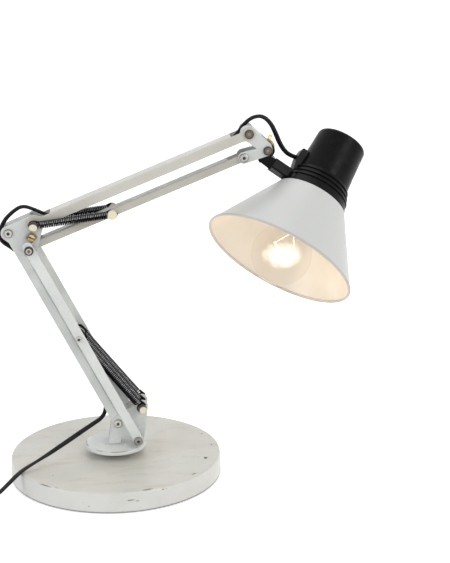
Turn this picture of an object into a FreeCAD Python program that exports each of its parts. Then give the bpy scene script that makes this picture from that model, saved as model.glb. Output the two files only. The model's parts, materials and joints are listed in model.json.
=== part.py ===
import FreeCAD, Part
import math
import os
from FreeCAD import Vector

# A balanced-arm desk lamp on a round base, in millimetres.
# The origin is the centre of the base's underside, +Z is up and +X points from the base towards the head.
# The arms move in the X-Z plane. The side that faces -Y is the near side.

os.makedirs("parts", exist_ok=True)

# Sheet and fits
sheet = 1.2
bend_radius = 1.8
bolt_radius = 2.5
running_fit = 0.05
side_gap = 0.2
seat_gap = 0.3
fold_margin = 0.1
open_pivot_gap = 0.3
small_edge = 1.0

# Base
base_radius = 107.5
base_height = 21.5
base_draft = 0.5
base_edge = 1.8
skirt_lift = 1.0
pad_thickness = 1.5
pad_inset = 5.0
weight_gap = 0.5
pocket_radius = 15.0
pocket_depth = 9.0

# Swivel
spindle_radius = 4.5
bush_wall = 2.8
collar_radius = 13.0
disc_radius = 30.7
disc_rise = 11.2
disc_sheet = 1.5
disc_rim = 3.8
disc_edge = 1.6
washer_radius = 10.8
washer_thickness = 1.6
spindle_nut_radius = 8.8
spindle_nut_height = 4.6
spindle_head_radius = 6.0
spindle_head_height = 3.0
foot_back = 7.25
foot_front = 4.8
tongue_back = 11.5
tongue_front = 9.0
relief_radius = 1.4

# Pivots of the two linkages, seen from the side
lower_arm_length = 226.0
lower_arm_lean = 26.8
upper_arm_length = 228.0
upper_arm_rise = 21.9
first_pivot_x = 2.8
first_pivot_rise = 22.9
lower_link = Vector(20.1, 0, -15.0)
upper_link = Vector(5.0, 0, 23.4)
spring_post = Vector(4.8, 0, 33.1)
tilt_offset = Vector(18.4, 0, -16.9)

# Bars
rear_bar_half_width = 8.2
rear_bar_half_height = 4.5
front_bar_half_width = 22.0
front_bar_back = 4.4
front_bar_front = 5.5
front_bar_top = 8.5
front_web_start = 37.0
front_web_end_gap = 20.0
upper_bar_half_height = 4.5
upper_eye_radius = 8.2
upper_tip_radius = 6.5
upper_eye_taper = 15.0
upper_web_start = 19.0
upper_web_end_gap = 17.5
lower_strut_half_height = 3.75
strut_web_end_gap = 16.0

# Bracket bosses
foot_boss = 7.0
post_boss = 6.0
front_boss = 6.2
elbow_rear_boss = 7.4
elbow_top_boss = 9.5
elbow_front_boss = 8.0
head_ear_radius = 7.4
head_ear_shift = Vector(-1.5, 0, 1.2)
head_tilt_boss = 4.8
head_shoulder_shift = Vector(-0.85, 0, 3.5)
head_low_boss = 5.8

# Fasteners
head_radius = 4.5
head_height = 2.4
recess_radius = 1.6
recess_depth = 1.0
nut_radius = 4.6
nut_height = 3.6
spacer_radius = 4.0

# Springs and their pins
lower_pin_radius = 2.0
upper_pin_radius = 2.0
hook_pin_radius = 2.0
hook_pin_head = 3.0
hook_pin_head_height = 1.4
hook_pin_along = 123.5
hook_pin_offset = 0.9
window_above = 5.0
window_below = 14.0
lower_spring_y = 15.6
lower_spring_diameter = 8.4
lower_wire = 1.2
lower_curls = 9
lower_hook_length = 11.0
upper_spring_y = 15.2
upper_spring_diameter = 7.2
upper_wire = 1.1
upper_curls = 8
upper_hook_length = 9.0
upper_pin_along = 88.2
pin_cap_radius = 4.6
pin_cap_length = 3.9
sleeve_wall = 1.5
wire_sides = 6

# Friction screw at the elbow
friction_offset = Vector(-2.5, 0, -12.4)
friction_washer_side = 8.5
friction_washer_turn = 45.0
friction_head_radius = 3.4
friction_head_height = 2.6
friction_stand = 1.8
slot_width = 0.9
slot_depth = 1.2
slot_turn = 41.0

# Head
stem_angle = -35.1
head_turn = 29.4
stem_reach = 52.1
hub_radius = 7.0
hub_back = 12.7
hub_up = 9.3
block_half_width = 8.2
block_tip_back = 15.0
block_tip_down = 4.2
block_top = 6.6
block_bottom = 5.0
spigot_radius = 4.0
spigot_length = 10.5
groove_radius = 3.0
groove_width = 3.6
groove_back = 7.0
grub_radius = 1.5
grub_sink = 0.2
stem_half_width = 6.5
stem_half_height = 5.6
stem_edge = 1.5
wing_reach = 12.2
wing_height = 11.0
wing_tip_height = 4.0
wing_root = 1.8
wing_corner = 2.0
wing_thickness = 2.4
wing_angle = 62.0
wing_hub_radius = 4.8
wing_flange_radius = 8.6
wing_flange_height = 2.0
wing_hub_height = 6.5
tilt_bolt_end = 4.0

# Cap, holder and shade, measured along the lamp's own axis from the stem's line
cap_height = 61.7
cap_top_radius = 25.5
cap_middle_height = 31.0
cap_middle_radius = 27.1
cap_waist_height = 15.0
cap_waist_radius = 28.3
cap_skirt_radius = 36.4
cap_skirt_drop = 8.4
cap_corner = 2.5
cap_wall = 2.2
rib_radius = 1.1
rib_first = 1.5
rib_step = 5.2
rib_count = 3
button_radius = 6.0
button_gap = 0.3
button_proud = 3.4
button_travel = 2.0
button_flange = 1.6
button_foot = 1.2
switch_radius = 12.0
switch_depth = 15.0
switch_floor = 6.5
clip_half_width = 5.5
clip_root = 6.0
clip_back = 34.5
clip_heel = 32.0
clip_shoulder = 19.0
clip_brow = 33.5
clip_top = 31.0
clip_lip = 2.0
clip_mouth_height = 21.0
holder_radius = 19.8
holder_top = 24.0
holder_mouth = 32.0
holder_bore = 14.0
holder_floor = 3.0
holder_shoulder = 3.0
ring_width = 7.0
ring_height = 5.0
shade_length = 70.6
shade_rim_radius = 76.3
shade_sheet = 1.0
shade_corner = 0.8
lip_radius = 1.3
lip_flats = 8

# Bulb
bulb_radius = 30.0
bulb_centre = 74.0
bulb_neck_radius = 12.5
bulb_neck_start = 24.0
bulb_neck_end = 36.0
bulb_neck_flare = 1.0
bulb_blend = 12.0
bulb_wall = 0.9
bulb_cap_radius = 13.2
contact_radius = 4.6
contact_rise = 3.0
cap_shoulder_radius = 7.9
cap_shoulder_drop = 5.0
glass_stem_radius = 4.0
glass_stem_tip = 2.2
glass_stem_length = 26.0
support_spread = 1.2
filament_drop = 44.0
filament_half_span = 12.0
filament_forward = 3.0
filament_sag = 1.5
filament_wire = 0.4

# Cord
cord_diameter = 5.0
cord_sides = 6
cord_arc_share = 0.45
table_height = 2.6
rear_bar_sink = 0.4
foot_sink = 0.8
upper_bar_sink = 0.3
upper_bar_entry = 42.0
rear_bar_entry = 36.0
rear_bar_exit = 46.0
foot_exit = 29.0
coil_outer_radius = 37.0
coil_turns = 3
coil_top_turns = 2.75
coil_pitch = 5.6
coil_layer = 5.6
plug_thickness = 16.0
plug_length = 38.0
plug_shoulder = 26.6
plug_edge = 2.5
plug_front_half = 17.5
plug_back_half = 5.5
plug_pin_radius = 2.0
plug_pin_length = 19.0
plug_pin_spacing = 18.6
boot_length = 24.0
boot_tail_radius = 2.8
boot_root_radius = 4.6

# Half-widths of the layers at each pivot, from the middle plane outwards
plate_in = rear_bar_half_width + side_gap
plate_out = plate_in + sheet
upper_bar_in = plate_out + side_gap
upper_bar_out = upper_bar_in + sheet
front_bar_in = front_bar_half_width - sheet

X_AXIS = Vector(1, 0, 0)
Y_AXIS = Vector(0, 1, 0)
Z_AXIS = Vector(0, 0, 1)
ORIGIN = Vector(0, 0, 0)


def heading(angle):
    # Unit vector in the side view, in degrees from +X towards +Z
    return Vector(math.cos(math.radians(angle)), 0, math.sin(math.radians(angle)))


# Places that follow from the sizes
disc_top = base_height + disc_rise
lower_up = heading(90 + lower_arm_lean)
lower_back = heading(180 + lower_arm_lean)
upper_out = heading(upper_arm_rise)
foot_rear = Vector(first_pivot_x, 0, disc_top + first_pivot_rise)
foot_front_pivot = foot_rear + lower_link
elbow_rear = foot_rear + lower_up * lower_arm_length
elbow_front = foot_front_pivot + lower_up * lower_arm_length
elbow_top = elbow_front + upper_link
head_top = elbow_top + upper_out * upper_arm_length
head_low = elbow_front + upper_out * upper_arm_length
tilt_pivot = head_top + tilt_offset
lower_post = foot_front_pivot + spring_post
hook_pin = foot_front_pivot + lower_up * hook_pin_along + lower_back * hook_pin_offset
upper_post = elbow_front + upper_out * upper_pin_along
friction_point = elbow_top + friction_offset
stem_out = heading(stem_angle)
stem_up = heading(stem_angle + 90)
swivel_point = tilt_pivot + stem_out * hub_back - stem_up * hub_up
lamp_point = swivel_point + stem_out * stem_reach
lamp_up = stem_up * math.cos(math.radians(head_turn)) + Y_AXIS * math.sin(math.radians(head_turn))
lamp_side = lamp_up.cross(stem_out)


def in_rear_bar(up, sink=rear_bar_sink):
    # The cord's line inside the rear lower bar
    return foot_rear + lower_up * up - lower_back * sink


def in_upper_bar(out):
    # The cord's line inside the upper bar
    return elbow_top + upper_out * out + heading(upper_arm_rise - 90) * upper_bar_sink


def from_head(x, y, z):
    return head_top + Vector(x, y, z)


def from_elbow(x, z):
    return elbow_top + Vector(x, 0, z)


def from_foot(x, y, z):
    return foot_rear + Vector(x, y, z)


# The cord's control points from the lamp to the coil, in stretches that each become one piece
cord_stretches = [
    ("cord_head_tail", [
        lamp_point - stem_out * (clip_back - clip_lip) + lamp_up * clip_mouth_height,
        from_head(41.65, 7.0, -25.17), from_head(34.75, 4.5, -18.17)]),
    ("cord_head_loop", [
        from_head(30.05, 2.5, -9.17), from_head(26.35, 1.0, 0.13), from_head(21.75, 0.5, 9.23)]),
    ("cord_head_rise", [
        from_head(14.05, 0, 16.13), from_head(4.45, 0, 15.23), from_head(-3.95, 0, 8.83),
        from_head(-10.8, 0, -1.3)]),
    ("cord_upper_arm", [from_head(-18.1, 0, -8.6), in_upper_bar(upper_arm_length - upper_bar_entry)]),
    ("cord_elbow_top", [
        in_upper_bar(upper_bar_entry), from_elbow(22.9, 7.3), from_elbow(12.6, 7.2), from_elbow(2.0, 13.6)]),
    ("cord_elbow_side", [
        from_elbow(-10.6, 15.28), from_elbow(-20.8, 10.88), from_elbow(-29.0, 2.88), from_elbow(-33.4, -7.12),
        from_elbow(-31.8, -17.12)]),
    ("cord_lower_arm", [from_elbow(-24.2, -26.72), in_rear_bar(lower_arm_length - rear_bar_entry)]),
    ("cord_foot", [
        in_rear_bar(rear_bar_exit), in_rear_bar(foot_exit, foot_sink), from_foot(-14.3, -1.0, 7.9)]),
    ("cord_free", [
        from_foot(-29.8, -9.0, -5.0), Vector(-49.0, -20.4, 40.0), Vector(-72.0, -33.0, 31.0),
        Vector(-93.5, -49.5, 25.4), Vector(-105.0, -62.0, 17.5), Vector(-116.0, -72.5, 10.0),
        Vector(-129.0, -81.5, 4.6), Vector(-143.0, -88.0, table_height),
        Vector(-157.5, -91.0, table_height)]),
]


# Basic forms

def corner_arc(before, corner, after, radius):
    # The tangent arc of one corner, as its start, middle and end
    inward = (before - corner).normalize()
    outward = (after - corner).normalize()
    half = inward.getAngle(outward) / 2
    setback = radius / math.tan(half)
    bisector = (inward + outward).normalize()
    middle = corner + bisector * (radius / math.sin(half) - radius)
    return corner + inward * setback, middle, corner + outward * setback


def outline(corners):
    # A closed wire in the side view from (x, z) or (x, z, radius) corners, each rounded one cut in two flats
    places = [Vector(c[0], 0, c[1]) for c in corners]
    points = []
    for i, corner in enumerate(corners):
        if len(corner) == 3:
            points += corner_arc(places[i - 1], places[i], places[(i + 1) % len(places)], corner[2])
        else:
            points.append(places[i])
    return Part.makePolygon(points + points[:1])


def turned(corners):
    # A body turned about Z from its half section in (radius, height)
    return Part.Face(outline(corners)).revolve(ORIGIN, Z_AXIS, 360)


def facing(shape, side, centre, y):
    # A body drawn upright about Z, laid across the lamp with its top towards the near (-1) or far (1) side
    placed = shape.copy()
    placed.rotate(ORIGIN, X_AXIS, -90 * side)
    placed.translate(Vector(centre.x, y, centre.z))
    return placed


def belt(circles):
    # The outline of a belt laid round circles, each (centre, radius), in anticlockwise order
    edges = []
    touches = []
    for i, (centre, radius) in enumerate(circles):
        after, after_radius = circles[(i + 1) % len(circles)]
        run = after - centre
        lean = math.asin((radius - after_radius) / run.Length)
        along = math.atan2(run.z, run.x)
        normal = along - math.pi / 2 + lean
        touches.append(normal)
    for i, (centre, radius) in enumerate(circles):
        after, after_radius = circles[(i + 1) % len(circles)]
        arrive = touches[i - 1]
        leave = touches[i]
        turn = (leave - arrive) % (2 * math.pi)
        if radius > 0 and turn > 1e-6:
            points = [centre + heading(math.degrees(arrive + turn * t)) * radius for t in (0, 0.5, 1)]
            edges.append(Part.Arc(*points).toShape())
        start = centre + heading(math.degrees(leave)) * radius
        end = after + heading(math.degrees(leave)) * after_radius
        edges.append(Part.makeLine(start, end))
    return Part.Wire(edges)


def plate(wire, y_start, y_end):
    # A flat piece with this side-view outline between two widths
    face = Part.Face(wire)
    face.translate(Vector(0, y_start, 0))
    return face.extrude(Vector(0, y_end - y_start, 0))


def cheeks(wire, inner, outer):
    # The same plate on both sides
    return plate(wire, -outer, -inner).fuse(plate(wire, inner, outer))


def rod(centre, radius, y_start, y_end):
    # A cylinder across the lamp
    return Part.makeCylinder(radius, y_end - y_start, Vector(centre.x, y_start, centre.z), Y_AXIS)


def tube(centre, outer, inner, y_start, y_end):
    return rod(centre, outer, y_start, y_end).cut(rod(centre, inner, y_start, y_end))


def both_sides(shape):
    # The piece and its mirror image on the far side, as separate solids
    return [shape, shape.mirror(ORIGIN, Y_AXIS)]


def joined(shapes):
    body = shapes[0]
    for shape in shapes[1:]:
        body = body.fuse(shape)
    return body.removeSplitter()


def bored(shape, centres, radius):
    for centre in centres:
        shape = shape.cut(rod(centre, radius, -2 * front_bar_half_width, 2 * front_bar_half_width))
    return shape


def folded_block(start, end, low, high, half_width, radius, web_side):
    # A block along X whose two corners on the web's side are rounded
    block = Part.makeBox(end - start, 2 * half_width, high - low, Vector(start, -half_width, low))
    level = high if web_side > 0 else low
    bends = [e for e in block.Edges
             if abs(e.CenterOfMass.z - level) < 1e-6 and abs(abs(e.CenterOfMass.y) - half_width) < 1e-6]
    return block.makeFillet(radius, bends)


def channel(start, end, low, high, half_width, web_side):
    # Sheet folded to a channel along X, with its web above (1) or below (-1)
    outer = folded_block(start, end, low, high, half_width, bend_radius, web_side)
    inner_low = low - sheet if web_side > 0 else low + sheet
    inner_high = high - sheet if web_side > 0 else high + sheet
    inner = folded_block(start - 1, end + 1, inner_low, inner_high, half_width - sheet,
                         bend_radius - sheet, web_side)
    return outer.cut(inner)


def web_cut(start, end, low, high, half_width):
    # The space between the cheeks over a stretch of a channel
    inner = half_width - sheet
    return Part.makeBox(end - start, 2 * inner, high - low + 2, Vector(start, -inner, low - 1))


def laid(shape, pivot, angle):
    # Turns a bar that was drawn along X to its place
    placed = shape.copy()
    placed.rotate(ORIGIN, Y_AXIS, -angle)
    placed.translate(pivot)
    return placed


def along(x, z=0.0):
    return Vector(x, 0, z)


# Fasteners

def pan_bolt(centre, face_y, end_y):
    # A bolt across the lamp with its round head outside the near face
    head = turned([
        (0, 0), (head_radius, 0), (head_radius, head_height, head_height / 2), (recess_radius, head_height),
        (recess_radius, head_height - recess_depth), (0, head_height - recess_depth)])
    head = facing(head, -1, centre, face_y)
    return head.fuse(rod(centre, bolt_radius, face_y, end_y)).removeSplitter()


def hex_nut(centre, face_y, radius, height, bore):
    points = [centre + heading(60 * i) * radius for i in range(6)]
    wire = Part.makePolygon(points + points[:1])
    return plate(wire, face_y, face_y + height).cut(rod(centre, bore, face_y - 1, face_y + height + 1))


def bolt_and_nut(centre, half_width):
    # The nut's bore stands clear of the shank by the running fit
    bolt = pan_bolt(centre, -half_width, half_width + nut_height + 1)
    nut = hex_nut(centre, half_width, nut_radius, nut_height, bolt_radius + running_fit)
    return [bolt, nut]


def pin_sleeves(centre, pin, stations, cap_start):
    # Spacer tubes between the given widths and a closed cap on each end of a pin
    bore = pin + running_fit
    pieces = []
    for start, end in stations:
        pieces += both_sides(tube(centre, pin + sleeve_wall, bore, start, end))
    floor = pin_cap_length - sheet
    cap = turned([
        (bore, 0), (pin_cap_radius, 0), (pin_cap_radius, pin_cap_length, small_edge), (0, pin_cap_length),
        (0, floor), (bore, floor)])
    return pieces + both_sides(facing(cap, 1, centre, cap_start))


def pin_length(cap_start):
    # A pin ends just under the floor of its caps
    return cap_start + pin_cap_length - sheet - seat_gap


# Swept tubes

def section_at(point, direction, radius, sides, across):
    # A regular polygon square to the direction
    side = (across - direction * across.dot(direction)).normalize()
    up = direction.cross(side)
    corners = []
    for i in range(sides):
        turn = 2 * math.pi * (i + 0.5) / sides
        corners.append(point + side * (radius * math.cos(turn)) + up * (radius * math.sin(turn)))
    return Part.makePolygon(corners + corners[:1])


def swept(edges, radius, sides, across=Y_AXIS):
    path = Part.Wire(edges)
    first = edges[0]
    start = first.valueAt(first.FirstParameter)
    direction = first.tangentAt(first.FirstParameter)
    shell = Part.BRepOffsetAPI.MakePipeShell(path)
    shell.add(section_at(start, direction, radius, sides, across))
    shell.build()
    shell.makeSolid()
    return shell.shape()


def section_area(radius, sides):
    return sides * radius * radius * math.sin(2 * math.pi / sides) / 2


def halfway(first, second):
    return (first + second) * 0.5


def cord_edges(points, opens_halfway, ends_halfway):
    # Straight runs joined by arcs as large as the runs allow, the end runs whole or from their middle
    edges = []
    radii = []
    here = halfway(points[0], points[1]) if opens_halfway else points[0]
    for before, corner, after in zip(points, points[1:], points[2:]):
        shorter = min((corner - before).Length, (after - corner).Length)
        half_turn = (corner - before).getAngle(after - corner) / 2
        radius = cord_arc_share * shorter / math.tan(half_turn)
        start, middle, end = corner_arc(before, corner, after, radius)
        edges.append(Part.makeLine(here, start))
        edges.append(Part.Arc(start, middle, end).toShape())
        radii.append(radius)
        here = end
    last = halfway(points[-2], points[-1]) if ends_halfway else points[-1]
    edges.append(Part.makeLine(here, last))
    return edges, radii


def cord(name, points, opens_halfway, ends_halfway):
    edges, radii = cord_edges(points, opens_halfway, ends_halfway)
    solid = swept(edges, cord_diameter / 2, cord_sides)
    length = sum(e.Length for e in edges)
    area = section_area(cord_diameter / 2, cord_sides)
    print(name, "length %.1f" % length, "volume to section by length %.4f" % (solid.Volume / (area * length)))
    print("  radii", " ".join("%.1f" % r for r in radii))
    return solid, length


def biarc(start, start_way, end, end_way):
    # Two tangent arcs from one place and direction to another
    span = end - start
    total = start_way + end_way
    denominator = 2 * (1 - start_way.dot(end_way))
    reach = span.dot(total)
    if abs(denominator) < 1e-9:
        handle = span.dot(span) / (4 * span.dot(end_way))
    else:
        handle = (math.sqrt(reach * reach + denominator * span.dot(span)) - reach) / denominator
    first = start + start_way * handle
    second = end - end_way * handle
    middle = (first + second) * 0.5
    return [arc_by_control(start, first, middle), arc_by_control(middle, second, end)]


def arc_by_control(start, control, end):
    chord = end - start
    foot = (start + end) * 0.5
    rise = control - foot
    if rise.Length < 1e-6:
        return Part.makeLine(start, end)
    half = chord.Length / 2
    leg = (control - start).Length
    sagitta = half * leg / rise.Length * (1 - half / leg)
    return Part.Arc(start, foot + rise.normalize() * sagitta, end).toShape()


def least_self_gap(edges, diameter, skip):
    # The smallest distance between points more than skip apart along the path, less one diameter
    places = []
    travelled = 0.0
    for edge in edges:
        steps = max(2, int(edge.Length / (diameter / 3)))
        for i in range(steps):
            ratio = i / steps
            parameter = edge.FirstParameter + ratio * (edge.LastParameter - edge.FirstParameter)
            places.append((travelled + ratio * edge.Length, edge.valueAt(parameter)))
        travelled += edge.Length
    least = 1e9
    for i, (reach, place) in enumerate(places):
        for other_reach, other in places[i + 1:]:
            if other_reach - reach > skip:
                least = min(least, (other - place).Length)
    return least - diameter


def spring_path(start, end, y, coil_radius, hook_radius, hook_length, curls, wire):
    # An extension spring from pin to pin: a ring round each pin, a straight leg and the curls between
    way = (end - start).normalize()
    side = way.cross(Y_AXIS)
    span = (end - start).Length
    base = start + Y_AXIS * y

    def ring(angle):
        turn = math.radians(angle)
        place = way * math.cos(turn) + side * math.sin(turn)
        tangent = side * math.cos(turn) - way * math.sin(turn)
        return base + place * hook_radius, tangent

    nodes = []
    ring_angles = (30, 110, 190, 270)
    opening, opening_way = ring(ring_angles[0])
    edges = [Part.makeLine(opening - opening_way * wire, opening)]
    for first, second in zip(ring_angles, ring_angles[1:]):
        middle = ring((first + second) / 2)[0]
        edges.append(Part.Arc(ring(first)[0], middle, ring(second)[0]).toShape())
    neck = ring(270)[0] + way * wire
    edges.append(Part.makeLine(ring(270)[0], neck))
    rise = (span - 2 * hook_length) / (2 * math.pi * curls)
    for i in range(2 * curls + 1):
        turn = math.radians(270) + math.pi * i
        across = side * math.cos(turn) + Y_AXIS * math.sin(turn)
        tangent = (Y_AXIS * math.cos(turn) - side * math.sin(turn)) * coil_radius + way * rise
        station = base + way * (hook_length + rise * math.pi * i)
        nodes.append((station + across * coil_radius, tangent.normalize()))
    edges += biarc(neck, way, nodes[0][0], nodes[0][1])
    for (place, tangent), (next_place, next_tangent) in zip(nodes, nodes[1:]):
        edges += biarc(place, tangent, next_place, next_tangent)
    centre = base + way * (span / 2)

    def opposite(point):
        # Half a turn about the line across the lamp through the spring's middle
        return Vector(2 * centre.x - point.x, point.y, 2 * centre.z - point.z)

    far_neck = opposite(neck)
    edges += biarc(nodes[-1][0], nodes[-1][1], far_neck, way)
    edges.append(Part.makeLine(far_neck, opposite(ring(270)[0])))
    for first, second in zip(ring_angles[::-1], ring_angles[-2::-1]):
        middle = ring((first + second) / 2)[0]
        points = (opposite(ring(first)[0]), opposite(middle), opposite(ring(second)[0]))
        edges.append(Part.Arc(*points).toShape())
    edges.append(Part.makeLine(opposite(opening), opposite(opening - opening_way * wire)))
    return edges


def spring(name, start, end, y, diameter, wire, hook_radius, hook_length, curls):
    edges = spring_path(start, end, y, (diameter - wire) / 2, hook_radius, hook_length, curls, wire)
    solid = swept(edges, wire / 2, wire_sides)
    length = sum(e.Length for e in edges)
    ratio = solid.Volume / (section_area(wire / 2, wire_sides) * length)
    gap = least_self_gap(edges, wire, 2.5 * wire)
    print(name, "wire %.0f" % length, "volume ratio %.3f" % ratio, "least gap %.2f" % gap)
    return solid


# Base

def make_base_shell():
    top_radius = base_radius - base_draft
    inner = base_radius - sheet
    inner_top = top_radius - sheet
    bore = spindle_radius + running_fit + bush_wall
    return turned([
        (bore, base_height), (top_radius, base_height, base_edge), (base_radius, skirt_lift),
        (inner, skirt_lift), (inner_top, base_height - sheet, base_edge - sheet),
        (bore, base_height - sheet)])


def make_base_weight():
    radius = base_radius - base_draft - sheet - weight_gap
    bore = spindle_radius + running_fit + bush_wall
    ceiling = pad_thickness + pocket_depth
    return turned([
        (bore, base_height - sheet), (radius, base_height - sheet, small_edge), (radius, pad_thickness),
        (pocket_radius, pad_thickness), (pocket_radius, ceiling), (bore, ceiling)])


def make_base_pad():
    return Part.makeCylinder(base_radius - pad_inset, pad_thickness)


def make_base_bush():
    bore = spindle_radius + running_fit
    outer = bore + bush_wall
    collar_top = disc_top - disc_sheet - seat_gap
    return turned([
        (bore, pad_thickness + pocket_depth), (outer, pad_thickness + pocket_depth), (outer, base_height),
        (collar_radius, base_height), (collar_radius, collar_top, small_edge), (bore, collar_top)])


# Swivel

def make_swivel_disc():
    under = disc_top - disc_sheet
    rim = disc_top - disc_rim
    bore = spindle_radius + running_fit
    inner = disc_radius - disc_sheet
    return turned([
        (bore, disc_top), (disc_radius, disc_top, disc_edge), (disc_radius, rim), (inner, rim),
        (inner, under), (bore, under)])


def make_spindle_bolt():
    seat = disc_top + sheet
    bottom = pad_thickness + seat_gap
    return turned([
        (0, bottom), (spindle_radius, bottom), (spindle_radius, seat), (spindle_head_radius, seat),
        (spindle_head_radius, seat + spindle_head_height, small_edge), (0, seat + spindle_head_height)])


def make_spindle_nut():
    bore = spindle_radius + running_fit
    washer_top = pad_thickness + pocket_depth - seat_gap
    nut_top = washer_top - washer_thickness
    washer = turned([
        (bore, nut_top), (washer_radius, nut_top), (washer_radius, washer_top), (bore, washer_top)])
    points = [Vector(math.cos(math.pi * i / 3), math.sin(math.pi * i / 3), 0) * spindle_nut_radius
              for i in range(6)]
    nut = Part.Face(Part.makePolygon(points + points[:1])).extrude(Z_AXIS * spindle_nut_height)
    nut = nut.cut(Part.makeCylinder(bore, spindle_nut_height))
    nut.translate(Z_AXIS * (nut_top - spindle_nut_height))
    return Part.makeCompound([washer, nut])


def make_base_bracket():
    # Two cheeks stand on a short fold, and a wider tongue between them lies on the disc
    ears = belt([(lower_post, post_boss), (foot_rear, foot_boss), (foot_front_pivot, front_boss)])
    level = disc_top + bend_radius
    leg = belt([
        (foot_rear, foot_boss), (Vector(-foot_back, 0, level), 0), (Vector(foot_front, 0, level), 0)])
    sides = joined([cheeks(ears, plate_in, plate_out), cheeks(leg, plate_in, plate_out)])
    fold = channel(-foot_back, foot_front, disc_top, level + bend_radius, plate_out, -1)
    fold = fold.cut(Part.makeBox(foot_back + foot_front, 2 * plate_out, 2 * bend_radius,
                                 Vector(-foot_back, -plate_out, level)))
    tongue = Part.makeBox(tongue_back + tongue_front, 2 * (plate_in - bend_radius + sheet), sheet,
                          Vector(-tongue_back, -(plate_in - bend_radius + sheet), disc_top))
    bracket = joined([sides, fold, tongue])
    for x in (-foot_back, foot_front):
        corner = Vector(x, 0, disc_top + relief_radius)
        bracket = bracket.cut(rod(corner, relief_radius, -plate_out, -plate_in))
        bracket = bracket.cut(rod(Vector(x, 0, disc_top + relief_radius), relief_radius, plate_in, plate_out))
    bracket = bored(bracket, [foot_rear, foot_front_pivot], bolt_radius + running_fit)
    bracket = bored(bracket, [lower_post], lower_pin_radius + running_fit)
    return bracket.cut(Part.makeCylinder(spindle_radius + running_fit, sheet, Z_AXIS * disc_top))


def make_base_bolts():
    outer = front_bar_half_width + side_gap
    return Part.makeCompound(bolt_and_nut(foot_rear, plate_out) + bolt_and_nut(foot_front_pivot, outer))


def make_spacers(centre):
    # Tubes on a long bolt between the bracket and the wide bar
    bore = bolt_radius + running_fit
    spacer = tube(centre, spacer_radius, bore, plate_out, front_bar_in - side_gap)
    return Part.makeCompound(both_sides(spacer))


lower_cap_start = lower_spring_y + lower_wire / 2 + seat_gap
upper_cap_start = upper_spring_y + upper_wire / 2 + seat_gap


def make_lower_spring_pin():
    end = pin_length(lower_cap_start)
    return rod(lower_post, lower_pin_radius, -end, end)


def make_lower_pin_sleeves():
    middle = (lower_wire / 2 + seat_gap, plate_in - side_gap)
    outer = (plate_out + side_gap, lower_spring_y - lower_wire / 2 - seat_gap)
    return Part.makeCompound(
        pin_sleeves(lower_post, lower_pin_radius, [middle, outer], lower_cap_start))


# Lower arm

def make_rear_lower_bar():
    # The web faces forward and the open side faces back, with the cord inside
    half = rear_bar_half_height
    shape = belt([(along(0), half), (along(lower_arm_length), half)])
    bar = channel(-half, lower_arm_length + half, -half, half - fold_margin, rear_bar_half_width, -1)
    bar = bar.common(plate(shape, -rear_bar_half_width, rear_bar_half_width))
    bar = bored(bar, [along(0), along(lower_arm_length)], bolt_radius + running_fit)
    return laid(bar, foot_rear, 90 + lower_arm_lean)


def make_front_lower_bar():
    # The wide bar straddles the brackets: its web faces back and the springs lie inside
    low = -front_bar_front
    high = front_bar_back
    middle = (low + high) / 2
    half = (high - low) / 2
    top = lower_arm_length + front_bar_top
    bottom = -front_boss
    shape = belt([(along(bottom + half, middle), half), (along(top - half, middle), half)])
    bar = channel(bottom, top, low, high, front_bar_half_width, 1)
    bar = bar.common(plate(shape, -front_bar_half_width, front_bar_half_width))
    bar = bar.cut(web_cut(bottom - 1, front_web_start, low, high, front_bar_half_width))
    bar = bar.cut(web_cut(lower_arm_length - front_web_end_gap, top + 1, low, high, front_bar_half_width))
    bar = bar.cut(web_cut(hook_pin_along - window_below, hook_pin_along + window_above, 0, high,
                          front_bar_half_width))
    bar = bored(bar, [along(0)], bolt_radius + running_fit)
    bar = bored(bar, [along(lower_arm_length)], bolt_radius + open_pivot_gap)
    bar = bored(bar, [along(hook_pin_along, hook_pin_offset)], hook_pin_radius + running_fit)
    return laid(bar, foot_front_pivot, 90 + lower_arm_lean)


def make_front_bar_pin():
    # The upper hooks' pin, held by a small round head outside each cheek
    end = front_bar_half_width
    pin = rod(hook_pin, hook_pin_radius, -end, end)
    heads = both_sides(rod(hook_pin, hook_pin_head, end, end + hook_pin_head_height))
    return joined([pin] + heads)


# Elbow

def make_elbow_bracket():
    # Two cheeks joined by a strip along the upper back edge
    wire = belt([(elbow_top, elbow_top_boss), (elbow_rear, elbow_rear_boss), (elbow_front, elbow_front_boss)])
    run = elbow_rear - elbow_top
    lean = math.degrees(math.asin((elbow_top_boss - elbow_rear_boss) / run.Length))
    normal = math.degrees(math.atan2(run.z, run.x)) - 90 + lean
    outward = heading(normal)
    strip_start = elbow_rear + outward * elbow_rear_boss
    length = run.Length * math.cos(math.radians(lean))
    strip = channel(0, length, -elbow_rear_boss, 0, plate_out, 1)
    strip = strip.cut(Part.makeBox(length, 2 * plate_out, elbow_rear_boss - bend_radius,
                                   Vector(0, -plate_out, -elbow_rear_boss)))
    strip = laid(strip, strip_start, normal - 90)
    full = plate(wire, -plate_out, plate_out)
    edge_zone = Part.makeBox(length, 2 * plate_out, 2 * bend_radius, Vector(0, -plate_out, -bend_radius))
    edge_zone = laid(edge_zone, strip_start, normal - 90)
    sides = cheeks(wire, plate_in, plate_out).cut(edge_zone)
    bracket = joined([sides, strip.common(full)])
    bracket = bored(bracket, [elbow_rear, elbow_front], bolt_radius + running_fit)
    bracket = bored(bracket, [elbow_top], bolt_radius + running_fit)
    return bracket.cut(rod(friction_point, bolt_radius + running_fit, -plate_out, -plate_in))


def make_elbow_bolts():
    outer = front_bar_half_width + side_gap
    end = pin_length(upper_cap_start)
    pin = rod(elbow_top, bolt_radius, -end, end)
    return Part.makeCompound(bolt_and_nut(elbow_rear, plate_out) + bolt_and_nut(elbow_front, outer) + [pin])


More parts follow.
